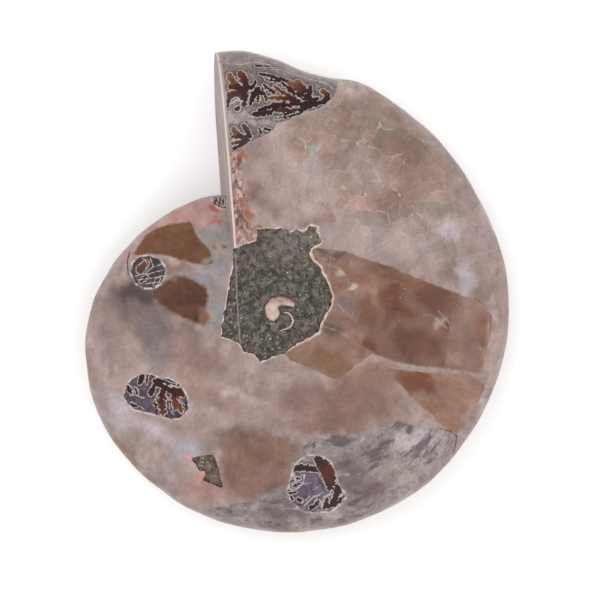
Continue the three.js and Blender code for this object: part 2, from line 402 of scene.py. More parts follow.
THREADS: list[tuple[Stroke, float]] = [
    ([(-9.8, 44.4), (-8.6, 44.2), (-7.0, 44.1), (-5.8, 44.5), (-4.2, 44.6), (-2.0, 44.2)], 0.1),
    ([(-3.0, 43.3), (0.5, 43.2), (3.0, 42.2), (6.0, 41.4), (8.6, 40.9)], 0.06),
    ([(7.2, 41.0), (9.0, 40.6), (9.9, 39.6)], 0.08), ([(-6.8, 36.9), (-7.9, 37.2), (-8.8, 36.5)], 0.2),
    ([(-6.4, 35.2), (-5.6, 34.2), (-4.6, 33.7)], 0.12),
    ([(-28.2, -14.8), (-27.2, -15.4), (-26.9, -16.4)], 0.1),
    ([(-27.6, -17.1), (-26.6, -16.9), (-25.8, -17.3), (-24.9, -17.5)], 0.09),
    ([(-27.4, -18.2), (-26.5, -18.2), (-26.0, -18.8), (-25.0, -19.6)], 0.08),
    ([(-20.4, -15.2), (-19.2, -15.3), (-18.2, -15.2)], 0.1),
    ([(-22.9, -19.6), (-23.4, -18.4), (-22.6, -17.2), (-22.0, -16.2)], 0.1),
    ([(-20.8, -17.0), (-20.3, -18.2), (-20.2, -19.6), (-19.4, -20.6)], 0.1),
    ([(-18.9, -17.6), (-17.9, -18.0), (-17.4, -18.8)], 0.1),
    ([(2.6, -31.3), (3.0, -32.8), (2.2, -33.2)], 0.16),
    ([(1.9, -34.4), (3.2, -34.2), (4.3, -33.2), (4.6, -31.6)], 0.16),
    ([(5.4, -29.8), (6.6, -29.9), (7.3, -31.0), (7.9, -32.3), (8.7, -34.0)], 0.07),
    ([(4.2, -33.4), (6.0, -33.0)], 0.05), ([(2.4, -32.0), (3.6, -31.9), (4.6, -31.5)], 0.08),
    ([(2.0, -33.2), (3.2, -32.9), (4.0, -32.4)], 0.08),
    ([(5.2, -34.8), (6.6, -34.2), (7.6, -33.4)], 0.05),
    ([(6.4, -36.6), (7.0, -35.4), (8.2, -34.8)], 0.07),
    ([(-23.9, 8.3), (-23.3, 6.8), (-24.8, 5.4), (-26.6, 5.0)], 0.08),
    ([(-23.6, 6.5), (-22.4, 6.9), (-21.3, 7.4)], 0.09),
    ([(-24.6, 5.2), (-23.0, 5.7), (-21.2, 6.1)], 0.08),
    ([(-26.2, 4.3), (-24.8, 4.4), (-23.5, 4.6), (-21.4, 5.0)], 0.07),
    ([(-25.2, 3.4), (-23.9, 3.7), (-21.8, 3.9)], 0.07),
    ([(-25.4, 8.3), (-24.4, 7.4), (-24.6, 6.2)], 0.05),
    ([(4.6, -37.4), (5.6, -36.4), (6.4, -35.6), (7.4, -35.4)], 0.14),
    ([(4.0, -36.8), (5.0, -36.2), (5.6, -35.6)], 0.1),
    ([(7.8, -37.8), (7.7, -36.6), (8.2, -35.8), (9.4, -35.2)], 0.22),
    ([(11.7, -35.2), (10.9, -35.9)], 0.14),
]
DARK_LINES: list[tuple[Stroke, float]] = [
    ([(29.6, -23.2), (31.5, -23.7), (32.9, -24.7), (32.6, -26.6), (32.3, -28.3)], 0.1),
    ([(-27.9, 9.5), (-28.3, 7.6), (-28.0, 5.2)], 0.12), ([(36.0, 1.0), (38.0, -0.6), (39.2, -2.6)], 0.06),
]
RUBBLE: list[tuple[Stroke, float]] = [([(-7.2, 27.0), (-6.3, 18.0), (-5.8, 12.0)], 1.6)]
CUT_LINE: Stroke = [(-8.1, 8.9), (-7.8, 0.6), (-7.2, -7.7), (-7.0, -9.0), (-6.7, -13.2), (-6.5, -16.3)]


@dataclass(frozen=True)
class Zone:
    """A field of another colour on the flank.

    Attributes:
        name: Name of the stored distance.
        corners: Its outline.
        colours: Two colours that it is mottled with.
        softness: Width of its edge.
        wobble: How unevenly the edge runs.
        strength: How much it covers what is under it.
    """

    name: str
    corners: Outline
    colours: tuple[str, str]
    softness: float
    wobble: float
    strength: float = 1.0


ZONES: list[Zone] = [
    Zone("brown_c", [(-11.0, -24.0), (-4.3, -23.3), (1.0, -24.7), (3.4, -26.6), (2.1, -29.7),
                     (1.2, -33.9), (-4.2, -36.8), (-8.6, -36.8), (-10.6, -33.6)], ("#7c5c50", "#876a5f"),
                     1.6, 1.0, 0.9),
    Zone("lilac", [(7.4, -24.0), (13.6, -24.0), (19.3, -22.7), (22.1, -21.6), (25.6, -23.0),
                   (29.6, -23.0), (32.9, -24.5), (32.3, -28.5), (34.0, -35.0), (22.5, -44.7),
                   (11.2, -48.5), (-3.8, -49.4), (-20.0, -42.7), (-15.9, -38.9), (-4.6, -36.4),
                   (-1.8, -34.6), (1.5, -33.3), (3.4, -26.9)], ("#a09391", "#8a7c7d"), 0.35, 0.5, 1.0),
    Zone("pink", [(-30.0, 9.7), (-26.2, 16.4), (-19.7, 21.2), (-12.6, 22.6), (-10.0, 20.9),
                  (-10.3, 16.4), (-14.3, 13.8), (-16.0, 15.0), (-20.7, 14.6), (-24.1, 13.0)], ("#bf9490",
                  "#b09088"), 0.6, 0.5, 0.95),
    Zone("blue", [(-15.2, 12.9), (-9.8, 15.5), (-8.2, 11.0), (-9.2, 6.4), (-9.9, -1.6), (-11.1, -4.9),
                  (-13.1, -4.4), (-13.3, 2.4), (-17.7, 6.4), (-12.2, 7.0), (-12.4, 9.4), (-14.1, 11.4)],
                  ("#8f8d92", "#a3948d"), 0.3, 0.4, 0.95),
    Zone("brown_a", [(-27.2, 9.1), (-25.1, 12.5), (-23.0, 13.9), (-20.7, 14.6), (-16.4, 15.0),
                     (-15.4, 12.7), (-13.7, 10.7), (-12.6, 9.4), (-12.2, 7.5), (-13.0, 7.0),
                     (-15.2, 7.2), (-17.8, 7.7), (-20.6, 8.7), (-24.2, 9.1), (-26.1, 8.7)], ("#755138",
                     "#6a4631"), 0.3, 0.25),
    Zone("brown_b", [(-19.4, 5.2), (-17.2, 4.8), (-13.7, 3.1), (-13.1, 1.3), (-13.5, -1.1),
                     (-13.1, -4.4), (-15.1, -3.8), (-17.7, -2.7), (-19.9, -1.6), (-22.3, 0.0),
                     (-23.3, 1.7), (-21.6, 3.7)], ("#563a30", "#634638"), 0.5, 0.3),
    Zone("wedge", [(4.8, 10.2), (11.8, 9.5), (16.3, 7.8), (20.7, 6.4), (24.7, 4.6), (28.8, 3.1),
                   (33.1, 1.5), (36.5, 0.4), (39.3, -2.6), (39.2, -4.8), (38.3, -8.1), (37.8, -12.9),
                   (30.2, -12.1), (25.0, -11.5), (20.7, -10.6), (18.5, -9.8), (16.9, -9.1),
                   (13.8, -11.5), (11.2, -13.5), (10.3, -14.0), (5.6, -11.9), (1.9, -10.4), (0.1, -8.6),
                   (3.8, 0.6)], ("#94746a", "#866655"), 0.12, 0.12),
    Zone("wedge_core", [(17.4, 7.5), (20.7, 6.4), (24.7, 4.6), (28.8, 3.1), (33.1, 1.5), (32.4, 0.0),
                        (31.4, -1.6), (31.4, -4.0), (30.9, -6.8), (30.4, -11.7), (25.0, -11.5),
                        (19.1, -10.0), (14.7, -7.6), (16.3, -4.2), (17.8, -0.5), (18.0, 2.7),
                        (15.8, 7.5)], ("#7a5341", "#6d4b3b"), 0.35, 0.3),
    Zone("triangle", [(19.1, -11.7), (21.8, -12.2), (26.1, -12.6), (31.5, -13.2), (35.5, -13.8),
                      (38.1, -15.2), (37.3, -17.4), (35.8, -20.0), (34.5, -22.6), (32.7, -24.1),
                      (30.5, -22.9), (27.8, -20.4), (25.0, -18.0), (22.6, -15.5), (20.4, -13.3)],
                      ("#8f6951", "#997566"), 0.2, 0.25),
    Zone("rust", [(-8.8, 27.0), (-7.6, 28.2), (-6.0, 27.8), (-6.2, 26.0), (-7.0, 24.4), (-6.6, 22.4),
                  (-6.7, 20.4), (-5.6, 19.0), (-4.9, 16.4), (-4.7, 14.6), (-3.0, 13.8), (-4.1, 11.6),
                  (-6.2, 10.9), (-8.3, 10.2), (-8.1, 14.0), (-8.4, 20.0)], ("#b08c80", "#98756a"), 0.3,
                  0.7, 0.9),
    Zone("red_sliver", [(-9.5, 2.6), (-10.0, 0.6), (-10.6, -1.9), (-10.9, -1.4), (-10.3, 1.2)],
                        ("#d0685a", "#c98a5a"), 0.15, 0.1),
]


@dataclass(frozen=True)
class Tint:
    """A soft oval patch of colour.

    Attributes:
        centre: Its middle.
        radii: Its half length and half width.
        turn: Turn of its long side from the X axis, in degrees.
        shade: Its colour.
        strength: How much it covers.
    """

    centre: tuple[float, float]
    radii: tuple[float, float]
    turn: float
    shade: str
    strength: float = 0.8


NEWER_TINTS: list[Tint] = [
    Tint((-2.0, 21.5), (6.5, 6.0), 80, "#aa9693"), Tint((6.5, 29.8), (6.0, 4.0), 30, "#a28577"),
    Tint((22.0, 28.5), (12.0, 6.5), -45, "#8f7468", 0.9), Tint((18.5, 33.5), (5.0, 2.2), -35, "#8f8376"),
    Tint((21.0, 17.9), (6.0, 3.6), 10, "#8d7064"), Tint((13.8, 17.5), (4.5, 2.6), 0, "#b39188"),
    Tint((9.4, 13.2), (2.6, 2.0), 0, "#b8a5a6", 0.9), Tint((13.0, 14.8), (2.4, 2.6), 0, "#a0958a"),
    Tint((20.5, 10.8), (13.0, 4.2), -10, "#ab9894", 0.9),
    Tint((6.3, 27.6), (1.5, 1.1), 40, "#98a5a3", 0.9),
    Tint((31.3, 13.2), (2.8, 1.8), -20, "#b8acb6", 0.9),
    Tint((32.1, 7.2), (3.8, 0.6), 95, "#857a66", 0.9), Tint((34.4, 4.6), (3.8, 1.8), 95, "#bab0b5", 0.95),
    Tint((36.6, 14.0), (11.0, 2.6), 100, "#b19c99", 0.8), Tint((29.4, 23.4), (5.0, 3.0), -50, "#a48a7f"),
    Tint((29.5, 17.2), (4.2, 1.9), 0, "#857a6c", 0.8), Tint((-2.0, 15.8), (5.5, 1.8), 0, "#b39c95"),
    Tint((9.5, 22.5), (5.0, 3.5), 20, "#a8938a"), Tint((1.5, 25.0), (1.6, 5.0), 0, "#b7a09a", 0.7),
    Tint((5.6, 23.4), (3.2, 3.4), 0, "#bba9a5", 0.9), Tint((5.6, 17.2), (3.0, 2.4), 0, "#baa29e", 0.9),
    Tint((13.0, 20.9), (2.6, 2.0), 0, "#957f74", 0.9), Tint((-1.4, 17.6), (2.3, 2.0), 0, "#8f7974", 0.9),
    Tint((30.6, 5.2), (2.0, 2.0), 0, "#8d766a", 0.95), Tint((-4.9, 20.8), (1.7, 2.2), 0, "#8a6e67", 0.95),
]
WEDGE_TINTS: list[Tint] = [
    Tint((8.6, 8.9), (4.4, 1.1), -10, "#69564f", 0.95),
    Tint((13.2, 5.0), (5.0, 2.0), -18, "#8d6a55", 0.95),
    Tint((12.2, -0.6), (3.8, 2.0), -12, "#836e69", 0.95),
    Tint((9.8, -4.6), (3.0, 1.6), -28, "#715c50", 0.95),
    Tint((9.8, -11.0), (7.0, 3.2), -25, "#7f604c", 0.95),
    Tint((28.4, 1.0), (5.2, 3.6), -20, "#643c22", 0.85),
    Tint((24.8, -7.4), (6.8, 4.0), -12, "#673f24", 0.85),
    Tint((16.2, -1.8), (2.4, 4.4), 8, "#76533f", 0.9), Tint((20.4, 4.9), (5.2, 1.3), -20, "#86593f", 0.9),
    Tint((36.0, -6.5), (3.6, 6.5), 0, "#87675d", 0.9), Tint((37.4, -5.0), (0.7, 4.0), -4, "#885c4c", 0.8),
    Tint((39.0, -10.0), (1.3, 4.0), 12, "#a57e68", 0.8),
    Tint((25.2, -14.4), (6.0, 2.5), -18, "#704529", 0.95),
    Tint((34.0, -17.6), (3.5, 4.0), 0, "#967260", 0.9), Tint((13.0, 3.0), (1.0, 0.5), 60, "#cbbfb6", 0.9),
    Tint((11.2, 5.2), (0.6, 0.9), 20, "#c7b9ae", 0.8),
    Tint((29.3, -3.4), (1.3, 0.8), -35, "#b5a196", 0.75),
    Tint((36.5, -22.5), (1.6, 4.0), 25, "#b79f97", 0.8),
]
OLDER_TINTS: list[Tint] = [
    Tint((14.0, -18.0), (10.5, 5.8), -5, "#83675d", 0.95),
    Tint((17.5, -12.8), (4.6, 2.0), -8, "#8a6a5e", 0.9),
    Tint((6.6, -13.6), (3.4, 1.3), -20, "#ab9992", 0.9),
    Tint((8.6, -22.9), (7.0, 1.8), 0, "#836559", 0.95),
    Tint((3.9, -18.4), (6.0, 4.0), 0, "#8f736d", 0.95), Tint((0.4, -12.0), (4.0, 1.4), -10, "#947c75"),
    Tint((-9.4, -17.4), (6.0, 3.6), -20, "#9b827c", 0.9),
    Tint((-7.0, -16.8), (6.0, 0.8), -24, "#b9a8a6", 0.9), Tint((-17.0, -13.8), (3.0, 4.5), 20, "#aa8f80"),
    Tint((-31.0, -4.0), (3.0, 8.0), 0, "#907c79", 0.9),
    Tint((-25.8, -0.2), (6.4, 3.8), -5, "#715f5c", 0.95),
    Tint((-25.0, 2.0), (6.2, 1.9), -8, "#4a3c3d", 0.95),
    Tint((-16.6, -5.4), (3.2, 2.2), 0, "#7a6663", 0.9),
    Tint((-22.8, -5.4), (4.4, 4.2), 0, "#75686b", 0.95),
    Tint((-17.8, -8.4), (4.0, 3.2), 0, "#927874", 0.9),
    Tint((-12.6, -11.0), (4.6, 3.0), -10, "#8f7571", 0.95),
    Tint((-30.0, -20.2), (3.2, 4.4), 15, "#beb1b5", 0.95),
    Tint((-23.4, -23.4), (4.4, 2.2), -25, "#bdafb6", 0.95),
    Tint((-17.0, -27.2), (3.4, 2.6), 0, "#a5a3aa", 0.95),
    Tint((-25.4, -25.6), (2.2, 2.6), 30, "#a29389", 0.8),
    Tint((-21.0, -33.6), (5.0, 1.2), -40, "#8e8187", 0.9),
    Tint((-14.0, -34.8), (3.6, 2.6), -10, "#ab7f77", 0.9),
    Tint((-8.5, -24.6), (4.6, 2.1), -5, "#72675f", 0.95),
    Tint((-22.3, -10.2), (2.2, 3.4), 10, "#8b8280", 0.9),
    Tint((-33.4, -11.0), (1.4, 4.0), 10, "#b09d9a", 0.8),
]


RUST_TINTS: list[Tint] = [
    Tint((-6.0, 17.0), (0.7, 2.2), 10, "#a8694c", 0.9),
    Tint((-7.3, 15.6), (0.55, 1.6), 0, "#5c4037", 0.95),
    Tint((-6.9, 26.9), (0.9, 0.8), 0, "#a06c54", 0.9),
    Tint((-5.4, 22.7), (1.0, 0.6), -20, "#8f7455", 0.9),
]
LILAC_TINTS: list[Tint] = [
    Tint((14.0, -26.5), (4.4, 2.2), 0, "#8f8287", 0.8),
    Tint((25.2, -25.2), (5.2, 3.0), 0, "#c2b6b8", 0.95),
    Tint((13.4, -32.0), (3.4, 3.8), 0, "#68565b", 0.95),
    Tint((21.0, -30.8), (4.2, 1.6), -10, "#b0a29a", 0.8),
    Tint((17.6, -34.7), (4.2, 1.9), 30, "#6b595e", 0.95),
    Tint((27.4, -30.4), (3.4, 1.9), 20, "#baada9", 0.9),
    Tint((8.0, -25.8), (3.6, 1.4), 0, "#b0a49c", 0.8),
    Tint((14.0, -40.8), (7.0, 1.6), 22, "#83777c", 0.8),
    Tint((1.2, -38.4), (6.6, 2.1), 5, "#68575f", 0.95),
    Tint((-7.5, -40.2), (6.5, 1.6), -6, "#80747a", 0.9),
    Tint((-17.0, -39.4), (4.5, 1.2), -28, "#93878c", 0.8),
    Tint((0.0, -44.6), (8.0, 1.2), 2, "#a5989a", 0.8), Tint((30.6, -27.0), (1.5, 1.4), 0, "#b3a6a2", 0.8),
]
SPOT_TINTS: list[Tint] = [
    Tint((-16.5, -28.7), (0.7, 0.6), 0, "#e595a4", 1.0),
    Tint((-14.6, -31.5), (0.9, 1.5), 0, "#cf8d86", 0.95),
    Tint((-20.6, 6.4), (2.0, 1.6), -30, "#8e6d58", 0.85),
    Tint((-17.6, 6.4), (3.0, 0.9), -15, "#8a6d61", 0.85),
    Tint((-17.5, 18.2), (5.5, 1.2), 25, "#a56e70", 0.8),
    Tint((-12.0, 17.2), (1.0, 0.9), 0, "#a45355", 0.95),
    Tint((-19.6, 16.3), (1.2, 0.5), 28, "#d2766d", 0.9),
    Tint((-12.3, 14.8), (1.8, 0.7), 30, "#b0565c", 0.8),
    Tint((-10.5, 10.7), (0.5, 0.4), 0, "#7d2f2b", 1.0),
    Tint((-12.2, 9.7), (0.35, 0.3), 0, "#84352f", 1.0),
    Tint((-9.3, 20.4), (1.4, 1.0), 15, "#6f6865", 0.9),
    Tint((-13.9, -2.6), (0.7, 2.0), 15, "#8d5d3c", 0.9),
    Tint((-12.6, 12.0), (1.6, 1.3), 0, "#959aa6", 0.6), Tint((-12.9, 7.6), (1.0, 0.6), 0, "#8f9a90", 0.7),
    Tint((-31.6, -13.2), (0.5, 1.4), -25, "#8a5f58", 0.8),
    Tint((-22.8, -8.4), (0.7, 1.2), 0, "#6b6874", 0.8),
]
TINT_LAYERS = {
    "ground_tints": OLDER_TINTS + NEWER_TINTS,
    "wedge_tints": WEDGE_TINTS,
    "lilac_tints": LILAC_TINTS,
    "rust_tints": RUST_TINTS,
    "top_tints": SPOT_TINTS,
}
WINDOW_ZONES: list[Zone] = [
    Zone("window_margin", [(-10.8, 49.0), (-10.0, 42.7), (-6.0, 43.4), (-2.0, 43.3), (2.0, 42.2),
                           (5.0, 41.8), (8.0, 41.2), (10.4, 40.6), (10.8, 43.0), (4.0, 47.0),
                           (-3.0, 49.0)], ("#a3978f", "#857a78"), 0.6, 0.5, 0.9),
    Zone("window_gap", [(-9.8, 36.6), (-7.2, 35.4), (-4.8, 33.6), (-1.0, 33.6), (1.8, 33.2),
                        (-1.0, 32.2), (-3.6, 32.2), (-6.0, 33.0), (-9.6, 32.4)], ("#b3a8a3", "#9a908c"),
                        0.5, 0.4, 0.9),
    Zone("window_dark", [(-28.0, 9.0), (-24.0, 9.4), (-20.0, 7.0), (-20.6, 2.2), (-25.0, 1.9),
                         (-28.5, 4.0)], ("#54474b", "#3d3135"), 0.5, 0.2),
    Zone("window_mauve", [(-30.0, -16.0), (-28.0, -12.5), (-24.0, -12.5), (-23.6, -16.0), (-23.2, -21.5),
                          (-28.0, -20.5)], ("#71656d", "#574b54"), 0.5, 0.4),
    Zone("window_brown", [(-24.0, -12.5), (-17.0, -13.0), (-15.6, -18.0), (-17.6, -22.5), (-23.2, -21.5),
                          (-23.6, -16.0)], ("#6a5c67", "#483c48"), 0.5, 0.4),
    Zone("window_lilac", [(0.5, -31.4), (7.6, -31.4), (9.2, -35.6), (7.6, -38.0), (3.0, -38.0),
                          (0.5, -35.0)], ("#7a6e7a", "#5e5260"), 0.5, 0.5),
]


@dataclass(frozen=True)
class Leaf:
    """One frilled lobe of a suture: a tapering rib with rounded side lobes.

    Attributes:
        rib: Points along the rib, from its foot.
        foot: Half width at the foot.
        tip: Half width at the tip.
        lobes: Side lobes on each side.
        spread: Length of the longest side lobe.
        tones: Tone at the foot and the tip, from 0 for black over 0.5 for red brown to 1 for amber.
    """

    rib: Stroke
    foot: float
    tip: float
    lobes: int
    spread: float
    tones: tuple[float, float]

    def capsules(self) -> list[tuple[np.ndarray, np.ndarray, float, float, float, float]]:
        """The tapering strokes that make up the leaf.

        Returns:
            Start, end, half width at each and tone at each.
        """
        points = np.array(self.rib, float)
        lengths = np.r_[0, np.cumsum(np.linalg.norm(np.diff(points, axis=0), axis=1))]
        share = lengths / lengths[-1]
        width = self.foot + (self.tip - self.foot) * share
        tone = self.tones[0] + (self.tones[1] - self.tones[0]) * share
        parts = [
            (points[i], points[i + 1], width[i], width[i + 1], tone[i], tone[i + 1])
            for i in range(len(points) - 1)
        ]
        for i in range(self.lobes):
            at = (i + 0.6) / (self.lobes + 0.3)
            root = np.array([np.interp(at, share, points[:, 0]), np.interp(at, share, points[:, 1])])
            ahead = np.array([np.interp(min(at + 0.1, 1), share, points[:, k]) for k in (0, 1)]) - root
            ahead /= max(float(np.linalg.norm(ahead)), 1e-6)
            for side in (-1, 1):
                turn = side * math.radians(58 - 12 * at)
                way = np.array([
                    ahead[0] * math.cos(turn) - ahead[1] * math.sin(turn),
                    ahead[0] * math.sin(turn) + ahead[1] * math.cos(turn),
                ])
                end = root + way * self.spread * (1.0 - 0.35 * at) * (1 + 0.15 * side)
                wide = float(np.interp(at, share, width))
                here = float(np.interp(at, share, tone))
                parts.append((root, end, wide * 0.45, wide * 0.6, here, self.tones[1]))
        return parts


